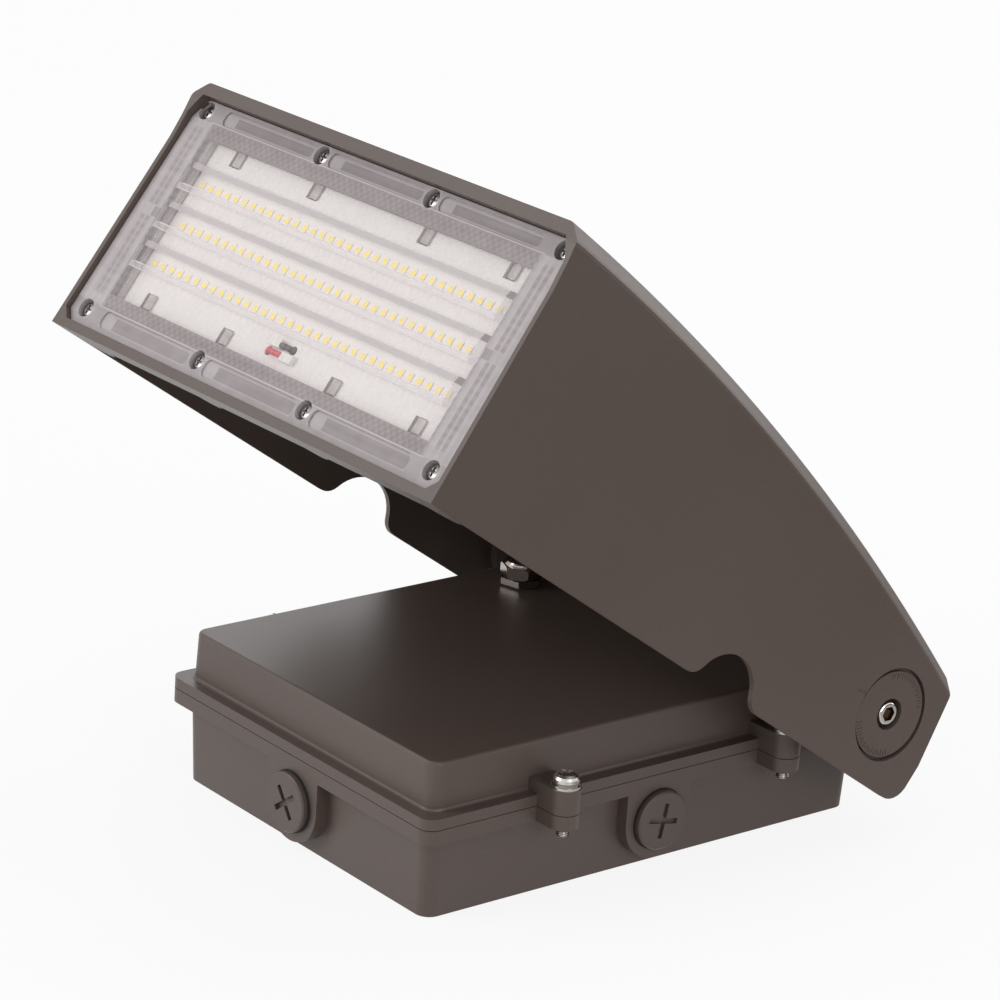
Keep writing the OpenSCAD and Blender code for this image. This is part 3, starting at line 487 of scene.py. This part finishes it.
# %% Border of the lens: band, grooves, screw seats and dips
BAND_HALF = 0.1000
BAND_HEIGHTS = (0.0138, 0.0948)
LINE_HALF = 0.1005
LINE_WIDTH = 0.0004
LINE_GAP = 0.0001
SHADED_TOP_FROM = 0.0951
SIDE_END = 0.2
GROOVES = ((0.1030, 0.1053), (0.1062, 0.1085))
GROOVE_HEIGHTS = (0.0180, 0.0920)
GROOVE_BREAK = (0.0525, 0.0575)
BLOT = (0.0995, 0.1035, 0.0530, 0.0570)
LENS_SCREW_REACHES = (0.0332, 0.1073)
LENS_SCREW_HEIGHTS = (0.0106, 0.0987)
CUP_RADIUS = 0.0049
DIP_HEIGHTS = ((0.0062, 0.0124), (0.0958, 0.1008))
DIP_WIDTHS = ((-0.0953, -0.0385), (-0.0279, 0.0279), (0.0385, 0.0953))
DIP_EDGE = 0.0006
DIP_SHORTER = 0.0075

band = (
    across_middle(BAND_HALF, CLEAR_HEIGHTS[1], BAND_HEIGHTS[1])
    + across_middle(BAND_HALF, BAND_HEIGHTS[0], CLEAR_HEIGHTS[0])
    + patch(BAR_END, BAND_HALF, *CLEAR_HEIGHTS)
)
upper_line = BAND_HEIGHTS[1] + LINE_GAP
edge_line = (
    across_middle(LINE_HALF, upper_line, upper_line + LINE_WIDTH)
    + across_middle(LINE_HALF, BAND_HEIGHTS[0] - LINE_WIDTH, BAND_HEIGHTS[0])
)
sides = patch(BAR_END, SIDE_END, *BAND_HEIGHTS)
# Painted shade: the top of the border is darker, as it lies under the hood's overhang.
top = height.over(SHADED_TOP_FROM)
grooves = patch(*GROOVES[0], *GROOVE_HEIGHTS) + patch(*GROOVES[1], *GROOVE_HEIGHTS)
grooves = grooves * (1.0 - height.within(*GROOVE_BREAK))
blots = patch(*BLOT)
# Painted light: the screw seats are made lighter, so that their deep hollows don't go dark.
cups = nothing
for cup_height in LENS_SCREW_HEIGHTS:
    for cup_reach in LENS_SCREW_REACHES:
        sideways, upright_gap = reach - cup_reach, height - cup_height
        off_middle = sideways * sideways + upright_gap * upright_gap
        cups = cups + off_middle.under(CUP_RADIUS ** 2)
# The rims of the dips get a painted highlight, where their shallow steps catch the light.
dips, dip_rim_highlights = nothing, nothing
for low, high in DIP_HEIGHTS:
    for left, right_end in DIP_WIDTHS:
        whole = across.within(left, right_end) * height.within(low, high)
        inner = across.within(left + DIP_SHORTER, right_end - DIP_EDGE)
        inner = inner * height.within(low + DIP_EDGE, high - DIP_EDGE)
        dips = dips + inner
        dip_rim_highlights = dip_rim_highlights + (whole - inner)
print("border of the lens ready")

# %% [markdown]
# ## How the parts of the lens add up
# Every part is now a mask of 0 or 1. The shade runs from 0, a warm grey, to 1, almost white, and
# the cover from 0, fully clear, to 1, fully solid. In both sums each mask has one share, which says
# how much that part lightens or covers. The back of the lens is left almost clear, so that the
# pattern isn't seen twice.

# %% Put the lens together
SIDE_STRIP = 0.0905
BACK_COVER = 0.03
LENS_RELIEF = 0.00002

border_shade = (
    0.22 + haze * 0.06 + streaks * 0.16 + sides * (0.10 + ridge * 0.02) - top * 0.08
    - band * (0.12 + checks * 0.05) + edge_line * 0.2 + cups * 0.25
    - grooves * (0.13 - wave * 0.03) - blots * 0.16
    - dips * (0.09 - wave * 0.015) + dip_rim_highlights * 0.10
)
# The slopes over the rows are painted darker, as painted shade of their leaning faces.
board_shade = (
    0.84 - fluted * 0.12 - slopes * 0.38 - foot_lines * 0.22 - bar_ends * 0.30 + faces * 0.04
)
lens_shade = border_shade * (1.0 - clear) + board_shade * clear
lens_clear.mottle(lens_shade, tone(112, 101, 100), tone(243, 235, 237))

border_cover = 0.80 + haze * 0.1 - cups * 0.25
grid = ridge * 0.045 + wave * 0.025
# Painted light: near its ends the clear middle covers more of the dark pocket wall behind it.
board_cover = (
    0.06 + fluted * (grid + 0.10) + slopes * 0.66 + foot_lines * 0.5 + bar_ends * 0.42
    + feet * 0.30 + reach.over(SIDE_STRIP) * 0.08
)
board_cover = board_cover * front + BACK_COVER * (1.0 - front)
lens_clear.drive("Alpha", border_cover * (1.0 - clear) + board_cover * clear + rim * 0.06)
lens_clear.drive("Roughness", 0.10 + haze * 0.1)
lens_clear.bumps(fluted * ridge * 0.25 + band * checks * 0.25 + 0.5, LENS_RELIEF)
print("lens finish made")

# %% [markdown]
# ## Finish for every measured piece
# The measured pieces keep their meshes, and only their materials are changed. One table says which
# piece is made of what, as a parts list does.

# %% Give every measured piece its finish
PIECES_OF = {
    coat: ("back_box", "box_cover", "conduit_plugs", "dial_discs"),
    hood_coat: ("hood",),
    steel: ("cover_screws", "cover_washers", "friction_washers", "inner_screws", "lens_screws"),
    dull_steel: ("cover_lock_washers",),
    polished_steel: ("pivot_screws",),
    nickel: ("gland_body", "gland_nut", "gland_locknut"),
    rubber: ("box_gasket", "plug_rings", "gland_seal", "gland_washer"),
    silicone: ("lens_seal",),
    lens_clear: ("lens",),
    board: ("lamp_board",),
    phosphor: ("lamp_chips",),
    clip_plastic: ("board_clips",),
    white_plastic: ("lead_terminals", "terminal_block"),
    driver_paint: ("driver_case",),
    black_plastic: ("surge_protector",),
    green_paint: ("ground_screw",),
    red_sleeve: ("red_lead",),
    black_sleeve: ("black_lead",),
}
for finish, names in PIECES_OF.items():
    for name in names:
        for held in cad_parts[name].material_slots:
            held.material = finish.material
print("finished", sum(len(names) for names in PIECES_OF.values()), "pieces")

# %% [markdown]
# ## Repeats made with Geometry Nodes
# Lamps and screws come in sets. A node group says how one set is laid out: a line of points, the
# same piece on each point, made real at the end and given its material. Its inputs have names, and
# each set gives them its own values. The result is copied out as a plain mesh, so nothing in the
# scene depends on a modifier afterwards.

# %% A node group for a row of equal pieces
def row_group():
    group = bpy.data.node_groups.new("row_of_pieces", "GeometryNodeTree")
    inputs = {
        "Piece": "NodeSocketObject",
        "Count": "NodeSocketInt",
        "Start": "NodeSocketVector",
        "Step": "NodeSocketVector",
        "Finish": "NodeSocketMaterial",
    }
    for name, kind in inputs.items():
        group.interface.new_socket(name=name, in_out="INPUT", socket_type=kind)
    group.interface.new_socket(name="Row", in_out="OUTPUT", socket_type="NodeSocketGeometry")
    given = group.nodes.new("NodeGroupInput")
    line = group.nodes.new("GeometryNodeMeshLine")
    source = group.nodes.new("GeometryNodeObjectInfo")
    placed = group.nodes.new("GeometryNodeInstanceOnPoints")
    real = group.nodes.new("GeometryNodeRealizeInstances")
    coated = group.nodes.new("GeometryNodeSetMaterial")
    result = group.nodes.new("NodeGroupOutput")
    link = group.links.new
    link(given.outputs["Count"], line.inputs["Count"])
    link(given.outputs["Start"], line.inputs["Start Location"])
    link(given.outputs["Step"], line.inputs["Offset"])
    link(given.outputs["Piece"], source.inputs["Object"])
    link(line.outputs["Mesh"], placed.inputs["Points"])
    link(source.outputs["Geometry"], placed.inputs["Instance"])
    link(placed.outputs["Instances"], real.inputs["Geometry"])
    link(real.outputs["Geometry"], coated.inputs["Geometry"])
    link(given.outputs["Finish"], coated.inputs["Material"])
    link(coated.outputs["Geometry"], result.inputs["Row"])
    return group


ROW_OF_PIECES = row_group()
row_inputs = [i for i in ROW_OF_PIECES.interface.items_tree if i.in_out == "INPUT"]


def new_object(name, mesh):
    thing = bpy.data.objects.new(name, mesh)
    bpy.context.collection.objects.link(thing)
    return thing


def finished_mesh(thing):
    """The object's mesh with its modifiers worked in, as a plain mesh."""
    bpy.context.view_layer.update()
    evaluated = thing.evaluated_get(bpy.context.evaluated_depsgraph_get())
    return bpy.data.meshes.new_from_object(evaluated)


def row_of(piece, finish, count, start, step):
    """A plain mesh with the piece repeated along a line, all in one finish."""
    holder = new_object("row", bpy.data.meshes.new("row"))
    layout = holder.modifiers.new("layout", "NODES")
    layout.node_group = ROW_OF_PIECES
    values = {
        "Piece": piece, "Count": count, "Start": start, "Step": step, "Finish": finish.material,
    }
    for item in row_inputs:
        layout[item.identifier] = values[item.name]
    mesh = finished_mesh(holder)
    bpy.data.objects.remove(holder)
    return mesh


print("row group ready with inputs", [item.name for item in row_inputs])

# %% [markdown]
# ## From loose faces to a piece of the light
# A shape is first drawn as loose faces, which are then made an object. A set of rows becomes one
# piece: its meshes are joined, each keeps its own material, and the whole is moved to its place. It
# then rides on the body that carries it, and stands in for the measured piece.

# %% Helpers that make objects
def sheet_object(name, sheet, *materials):
    """An object from a finished sheet of faces, which is used up."""
    mesh = bpy.data.meshes.new(name)
    sheet.to_mesh(mesh)
    sheet.free()
    for material in materials:
        mesh.materials.append(material)
    return new_object(name, mesh)


def gathered(name, meshes, axes, body, *replaced):
    """One object from several meshes, moved into place by a matrix, riding on a body."""
    sheet = bmesh.new()
    materials = []
    for mesh in meshes:
        before = len(sheet.faces)
        sheet.from_mesh(mesh)
        sheet.faces.ensure_lookup_table()
        for face in sheet.faces[before:]:
            material = mesh.materials[face.material_index]
            if material not in materials:
                materials.append(material)
            face.material_index = materials.index(material)
    sheet.transform(axes)
    piece = sheet_object(name, sheet, *materials)
    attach(piece, body)
    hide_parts(*replaced)
    return piece


print("object helpers ready")

# %% [markdown]
# ## Lamps
# Each lamp is a white package with a cup of yellow phosphor. The package is a small box, and the
# phosphor a low cushion on top of it with softly squared corners. They are laid out as two rows,
# one over the other, because each row has one finish. The rows hold as many lamps as the measured
# part.

# %% Make the lamps
LAMP_WIDTH = 0.0028
LAMP_LENGTH = 0.0035
LAMP_HEIGHT = 0.0004
LAMP_EDGE = 0.0052
BOX_SHARE = 0.8
CUSHION_ACROSS = 0.726
CUSHION_ALONG = 0.5148
CUSHION_LIFT = 0.78
CUSHION_THICK = 0.4
CUSHION_CORNER = 0.45
CUSHION_CORE = 0.35
ROW_COUNTS = (34, 33, 34)


def lamp_package(width, length, height):
    """A box with its foot at d = 0, facing towards the viewer at negative d."""
    sheet = bmesh.new()
    bmesh.ops.create_cube(sheet, size=1)
    for corner in sheet.verts:
        depth = (corner.co.y - 0.5) * height * BOX_SHARE
        corner.co = Vector((corner.co.x * width, depth, corner.co.z * length))
    return sheet_object("lamp_package", sheet)


def lamp_cushion(width, length, height):
    """A flat ball with squared corners that stands out of the package."""
    sheet = bmesh.new()
    bmesh.ops.create_uvsphere(sheet, u_segments=12, v_segments=6, radius=0.5)
    for corner in sheet.verts:
        off_core = max(abs(corner.co.x), abs(corner.co.z), CUSHION_CORE)
        squared = 1.0 / off_core ** CUSHION_CORNER
        corner.co = Vector((
            corner.co.x * width * squared * CUSHION_ACROSS,
            -height * CUSHION_LIFT + corner.co.y * height * CUSHION_THICK,
            corner.co.z * length * squared * CUSHION_ALONG,
        ))
    for face in sheet.faces:
        face.smooth = True
    return sheet_object("lamp_cushion", sheet)


lamp_pitch = 2 * (BOARD_HALF - LAMP_EDGE) / (max(ROW_COUNTS) - 1)
lamp_parts = (
    (lamp_package(LAMP_WIDTH, LAMP_LENGTH, LAMP_HEIGHT), package_white),
    (lamp_cushion(LAMP_WIDTH, LAMP_LENGTH, LAMP_HEIGHT), phosphor),
)
lamp_meshes = []
for part, finish in lamp_parts:
    for count, middle in zip(ROW_COUNTS, ROW_MIDDLES):
        row_start = (-(count - 1) / 2 * lamp_pitch, BOARD_SET, middle)
        lamp_meshes.append(row_of(part, finish, count, row_start, (lamp_pitch, 0, 0)))
    bpy.data.objects.remove(part)
lamps = gathered("lamps", lamp_meshes, FACE_AXES, "head", "lamp_chips")
print("lamps:", sum(ROW_COUNTS), "pitch", round(lamp_pitch * 1000, 3), "mm")

# %% [markdown]
# ## Screws
# A screw is turned on a lathe, so it is drawn as half its outline: a domed head, a shank, and a
# thread as a run of small teeth. The cross in the head is cut out of the turned solid. The cover
# has four of them and the lens eight smaller ones, and each set stands where the measured screws
# are. The two pivot screws have a straight head with a rounded edge and a six-sided socket.

# %% Turn an outline, and cut a tool out of it
def lathe(outline, steps):
    """A closed solid from an outline of (radius, height), both ends on the axis."""
    sheet = bmesh.new()
    turns = [2 * math.pi * i / steps for i in range(steps)]
    rings = []
    for radius, height in outline:
        ring = [(radius * math.cos(a), radius * math.sin(a), height) for a in turns]
        rings.append([sheet.verts.new(corner) for corner in (ring if radius else ring[:1])])
    for lower, upper in zip(rings, rings[1:]):
        for i in range(steps):
            j = (i + 1) % steps
            corners = [lower[i % len(lower)], lower[j % len(lower)]]
            corners += [upper[j % len(upper)], upper[i % len(upper)]]
            sheet.faces.new(list(dict.fromkeys(corners)))
    bmesh.ops.recalc_face_normals(sheet, faces=sheet.faces)
    return sheet


def cut_out(body, tool):
    """The body less the tool, as a plain mesh. Both objects are used up."""
    cut = body.modifiers.new("cut", "BOOLEAN")
    cut.operation = "DIFFERENCE"
    cut.solver = "EXACT"
    cut.object = tool
    mesh = finished_mesh(body)
    bpy.data.objects.remove(tool)
    bpy.data.objects.remove(body)
    return mesh


print("lathe ready")

# %% A pan-head screw with a cross
TIP_SHARE = 0.6
ROOT_SHARE = 0.82
NECK_SHARE = 0.9
HEAD_FOOT_SHARE = 0.97
HEAD_EDGE_SHARE = 0.12
DOME_FULLNESS = 0.75
DOME_STEP = 18
CROSS_SPAN = 0.72
CROSS_SLOT = 0.16
CROSS_DEPTH = 0.7
CROSS_FOOT = (0.55, 0.7)


def cross_tool(span, slot, depth, top):
    """A plus sign that narrows downwards, as the bit of a screwdriver."""
    sheet = bmesh.new()
    foot = (top - depth, span * CROSS_FOOT[0], slot * CROSS_FOOT[1])
    rings = []
    for height, far, near in (foot, (top + depth, span, slot)):
        quarter = [Vector((far, near, height)), Vector((near, near, height))]
        quarter.append(Vector((near, far, height)))
        quarters = [Matrix.Rotation(turn * math.pi / 2, 3, "Z") for turn in range(4)]
        plus = [turned @ corner for turned in quarters for corner in quarter]
        rings.append([sheet.verts.new(corner) for corner in plus])
    lower, upper = rings
    for i in range(len(lower)):
        j = (i + 1) % len(lower)
        sheet.faces.new((lower[i], lower[j], upper[j], upper[i]))
    sheet.faces.new(lower[::-1])
    sheet.faces.new(upper)
    bmesh.ops.triangulate(sheet, faces=sheet.faces[:])
    bmesh.ops.recalc_face_normals(sheet, faces=sheet.faces)
    return sheet_object("cross_tool", sheet)


def screw(head_r, head_h, shank_r, length, thread_from, pitch, steps=48):
    """A pan-head screw with its head standing on height 0 and its tip at -length."""
    outline = [(0, -length), (shank_r * TIP_SHARE, -length)]
    height = -length + pitch * 0.4
    while height < -thread_from - pitch:
        outline += [(shank_r * ROOT_SHARE, height), (shank_r, height + pitch * 0.5)]
        height += pitch
    outline += [(shank_r * NECK_SHARE, -thread_from), (shank_r * NECK_SHARE, 0)]
    outline += [(head_r * HEAD_FOOT_SHARE, 0), (head_r, head_h * HEAD_EDGE_SHARE)]
    for angle in (math.radians(DOME_STEP * k) for k in range(1, 5)):
        dome = HEAD_EDGE_SHARE + (1 - HEAD_EDGE_SHARE) * math.sin(angle)
        outline.append((head_r * math.cos(angle) ** DOME_FULLNESS, head_h * dome))
    outline.append((0, head_h))
    body = sheet_object("screw", lathe(outline, steps))
    cross = (head_r * CROSS_SPAN, head_r * CROSS_SLOT, head_h * CROSS_DEPTH, head_h)
    return new_object("screw", cut_out(body, cross_tool(*cross)))


print("screw ready")

# %% Four screws in the cover
COVER_HEAD_R = 0.0051
COVER_HEAD_H = 0.0039
COVER_SHANK_R = 0.0025
COVER_THREAD_FROM = 0.009
COVER_THREAD_PITCH = 0.0008

cover_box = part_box("cover_screws")
screw_far = cover_box[1] - Vector((COVER_HEAD_R, COVER_HEAD_R, COVER_HEAD_H))
cover_screw = screw(
    COVER_HEAD_R, COVER_HEAD_H, COVER_SHANK_R, screw_far.z - cover_box[0].z,
    COVER_THREAD_FROM, COVER_THREAD_PITCH,
)
cover_meshes = []
for side in (-1, 1):
    row_start = (-screw_far.x, side * screw_far.y, screw_far.z)
    cover_meshes.append(row_of(cover_screw, steel, 2, row_start, (2 * screw_far.x, 0, 0)))
cover_screws = gathered("cover_screws_turned", cover_meshes, Matrix(), "base", "cover_screws")
bpy.data.objects.remove(cover_screw)
print("cover screws:", len(cover_screws.data.polygons), "faces")

# %% Eight screws in the lens
LENS_HEAD_R = 0.0035
LENS_HEAD_H = 0.0022
LENS_SHANK_R = 0.00195
LENS_SCREW_LENGTH = 0.013
LENS_SCREW_SEAT = 0.0055
LENS_THREAD_FROM = 0.001
LENS_THREAD_PITCH = 0.0007
LENS_SCREW_STEPS = 20

lens_screw = screw(
    LENS_HEAD_R, LENS_HEAD_H, LENS_SHANK_R, LENS_SCREW_LENGTH,
    LENS_THREAD_FROM, LENS_THREAD_PITCH, LENS_SCREW_STEPS,
)
lens_screw.data.transform(Matrix.Rotation(math.radians(90), 4, "X"))
lens_meshes = []
for up_face in LENS_SCREW_HEIGHTS:
    for off_middle in LENS_SCREW_REACHES:
        row_start = (-off_middle, LENS_SCREW_SEAT, up_face)
        row_step = (2 * off_middle, 0, 0)
        lens_meshes.append(row_of(lens_screw, dull_steel, 2, row_start, row_step))
lens_screws = gathered("lens_screws_turned", lens_meshes, FACE_AXES, "head", "lens_screws")
bpy.data.objects.remove(lens_screw)
print("lens screws:", len(lens_screws.data.polygons), "faces")

# %% Two socket screws in the pivots
PIVOT_HEAD_R = 0.00475
PIVOT_HEAD_H = 0.005
PIVOT_SHANK_R = 0.00315
PIVOT_LENGTH = 0.0160
PIVOT_EDGE = 0.0010
PIVOT_STEPS = 48
EDGE_STEP = 22.5
SOCKET_ACROSS = 0.0055
SOCKET_DEPTH = 0.0034

socket_outline = [
    (0, -PIVOT_LENGTH), (PIVOT_SHANK_R, -PIVOT_LENGTH), (PIVOT_SHANK_R, 0), (PIVOT_HEAD_R, 0),
]
for angle in (math.radians(EDGE_STEP * k) for k in range(5)):
    socket_outline.append((
        PIVOT_HEAD_R - PIVOT_EDGE * (1 - math.cos(angle)),
        PIVOT_HEAD_H - PIVOT_EDGE * (1 - math.sin(angle)),
    ))
socket_outline.append((0, PIVOT_HEAD_H))
socket_corner = SOCKET_ACROSS / math.sqrt(3)
sheet = bmesh.new()
bmesh.ops.create_cone(
    sheet, cap_ends=True, segments=6, radius1=socket_corner, radius2=socket_corner,
    depth=2 * SOCKET_DEPTH, matrix=Matrix.Translation((0, 0, PIVOT_HEAD_H)),
)
socket_screw = sheet_object("socket_screw", lathe(socket_outline, PIVOT_STEPS))
socket_mesh = cut_out(socket_screw, sheet_object("socket_tool", sheet))
socket_mesh.materials.append(polished_steel.material)
pivot_middle = (Vector(pivot_box[0]) + Vector(pivot_box[1])) / 2
head_foot = pivot_box[1][0] - PIVOT_HEAD_H
pivot_meshes = []
for side in (-1, 1):
    turned = socket_mesh.copy()
    seat = Matrix.Translation((side * head_foot, pivot_middle.y, pivot_middle.z))
    turned.transform(seat @ Matrix.Rotation(side * math.pi / 2, 4, "Y"))
    pivot_meshes.append(turned)
pivot_screws = gathered("pivot_screws_turned", pivot_meshes, Matrix(), "base", "pivot_screws")
print("pivot screws:", len(pivot_screws.data.polygons), "faces")

# %% [markdown]
# ## Floor
# The light lies on its back on a white table. What the camera sees of the table is mostly pure
# white, through Light Path, and the rest is the lit table, which keeps the object's shadow. What
# the coat and the metal mirror of it is a painted glow: white on the near left and fading towards
# the far right, as a table does that is lit from the left.

# %% Build the floor
FLOOR_HALF = 6
FLOOR_DROP = 0.0002
FLOOR_WHITE = 0.88
FADE_EAST = 0.77
FADE_NORTH = 0.64
FADE_FROM = -0.1
FADE_TO = 0.5
FADE_LEAST = 0.08


def mix_shaders(share, first, second):
    return table_top.add("ShaderNodeMixShader", {}, {0: share, 1: first, 2: second})


def emission(grey, strength):
    light = {"Color": (grey, grey, grey, 1), "Strength": strength}
    return table_top.add("ShaderNodeEmission", {}, light)


table_top = Finish("white_table", (0.8, 0.8, 0.8), 0.9)
seen = table_top.add("ShaderNodeLightPath", out="Is Camera Ray")
mirrored = table_top.add("ShaderNodeLightPath", out="Is Glossy Ray")
through = table_top.add("ShaderNodeLightPath", out="Is Transmission Ray")
mirrored = mirrored.maths("MAXIMUM", mirrored, through)
glow = emission(1, 1.0)
unlit = emission(0, 0.0)
east, north, _ = table_top.axes()
# Painted light: the glow that mirrors see fades across the table.
fade = table_top.add("ShaderNodeMapRange", {}, {
    "Value": east * FADE_EAST + north * FADE_NORTH,
    "From Min": FADE_FROM, "From Max": FADE_TO, "To Min": 1.0, "To Max": FADE_LEAST,
})
plain = Wire(table_top, table_top.shader.outputs[0])
in_mirrors = mix_shaders(mirrored, plain, mix_shaders(fade, unlit, glow))
table_look = mix_shaders(seen * FLOOR_WHITE, in_mirrors, glow)
table_output = table_top.tree.nodes["Material Output"]
table_top.tree.links.new(table_look.socket, table_output.inputs["Surface"])

sheet = bmesh.new()
sheet.faces.new([
    sheet.verts.new((x * FLOOR_HALF, y * FLOOR_HALF, -FLOOR_DROP))
    for x, y in ((-1, -1), (1, -1), (1, 1), (-1, 1))
])
floor = sheet_object("floor", sheet, table_top.material)
floor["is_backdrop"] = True
print("floor ready")

# %% [markdown]
# ## Lamps of the studio and the white room
# Large soft lamps give the broad gleam on the coat: a strong one from the near left, and weaker
# ones from the right, above and behind. The room is pure white to the camera and in mirrors, while
# it lights the object at an ordinary level.

# %% Place the lamps
SOFT_LAMPS = {
    # name: (place, aim, width, height, watts)
    "key_lamp": ((-1.2, -2.1, 1.2), (0, 0, 0.1), 1.4, 1.4, 31),
    "side_lamp": ((2.3, -0.3, 0.8), (0, 0, 0.10), 1.2, 1.0, 13),
    "top_lamp": ((0.1, 0.9, 2.4), (0, 0, 0.1), 1.6, 1.2, 10),
    "rim_lamp": ((0.1, 2.3, 0.7), (0, 0, 0.12), 1.4, 0.7, 6),
    "sheen_lamp": ((-2.2, 1.7, 1.0), (-0.1, 0, 0.08), 1.4, 1.0, 7),
}
for name, (place, aim, width, height, watts) in SOFT_LAMPS.items():
    lamp = bpy.data.lights.new(name, "AREA")
    lamp.shape = "RECTANGLE"
    lamp.size = width
    lamp.size_y = height
    lamp.energy = watts
    holder = new_object(name, lamp)
    holder.location = place
    holder.rotation_euler = (Vector(aim) - Vector(place)).to_track_quat("-Z", "Y").to_euler()
print("studio lamps:", len(SOFT_LAMPS))

# %% Make the white room
ROOM_LIGHT = 0.62
ROOM_TINT = (0.98, 0.98, 1.0, 1)

room = bpy.data.worlds.new("white_room")
bpy.context.scene.world = room
room.use_nodes = True
sky = room.node_tree
sky.nodes.clear()
link = sky.links.new
path = sky.nodes.new("ShaderNodeLightPath")
seen_white = sky.nodes.new("ShaderNodeBackground")
seen_white.inputs["Color"].default_value = (1, 1, 1, 1)
lighting = sky.nodes.new("ShaderNodeBackground")
lighting.inputs["Color"].default_value = ROOM_TINT
lighting.inputs["Strength"].default_value = ROOM_LIGHT
white_for = path.outputs["Is Camera Ray"]
for kind in ("Is Glossy Ray", "Is Transmission Ray"):
    either = sky.nodes.new("ShaderNodeMath")
    either.operation = "MAXIMUM"
    link(white_for, either.inputs[0])
    link(path.outputs[kind], either.inputs[1])
    white_for = either.outputs[0]
choice = sky.nodes.new("ShaderNodeMixShader")
result = sky.nodes.new("ShaderNodeOutputWorld")
link(white_for, choice.inputs[0])
link(lighting.outputs[0], choice.inputs[1])
link(seen_white.outputs[0], choice.inputs[2])
link(choice.outputs[0], result.inputs["Surface"])
print("room ready")

# %% [markdown]
# ## The size, as measured and as dressed
# Both boxes of the light are printed side by side: as measured, and with every dressed piece.
# Nothing made here may make the light bigger than it was measured.

# %% Print both sizes
dressed_box = [list(corner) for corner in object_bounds()]
for tag, box in (("measured", measured_box), ("dressed", dressed_box)):
    print(tag, [[round(v, 4) for v in corner] for corner in box])
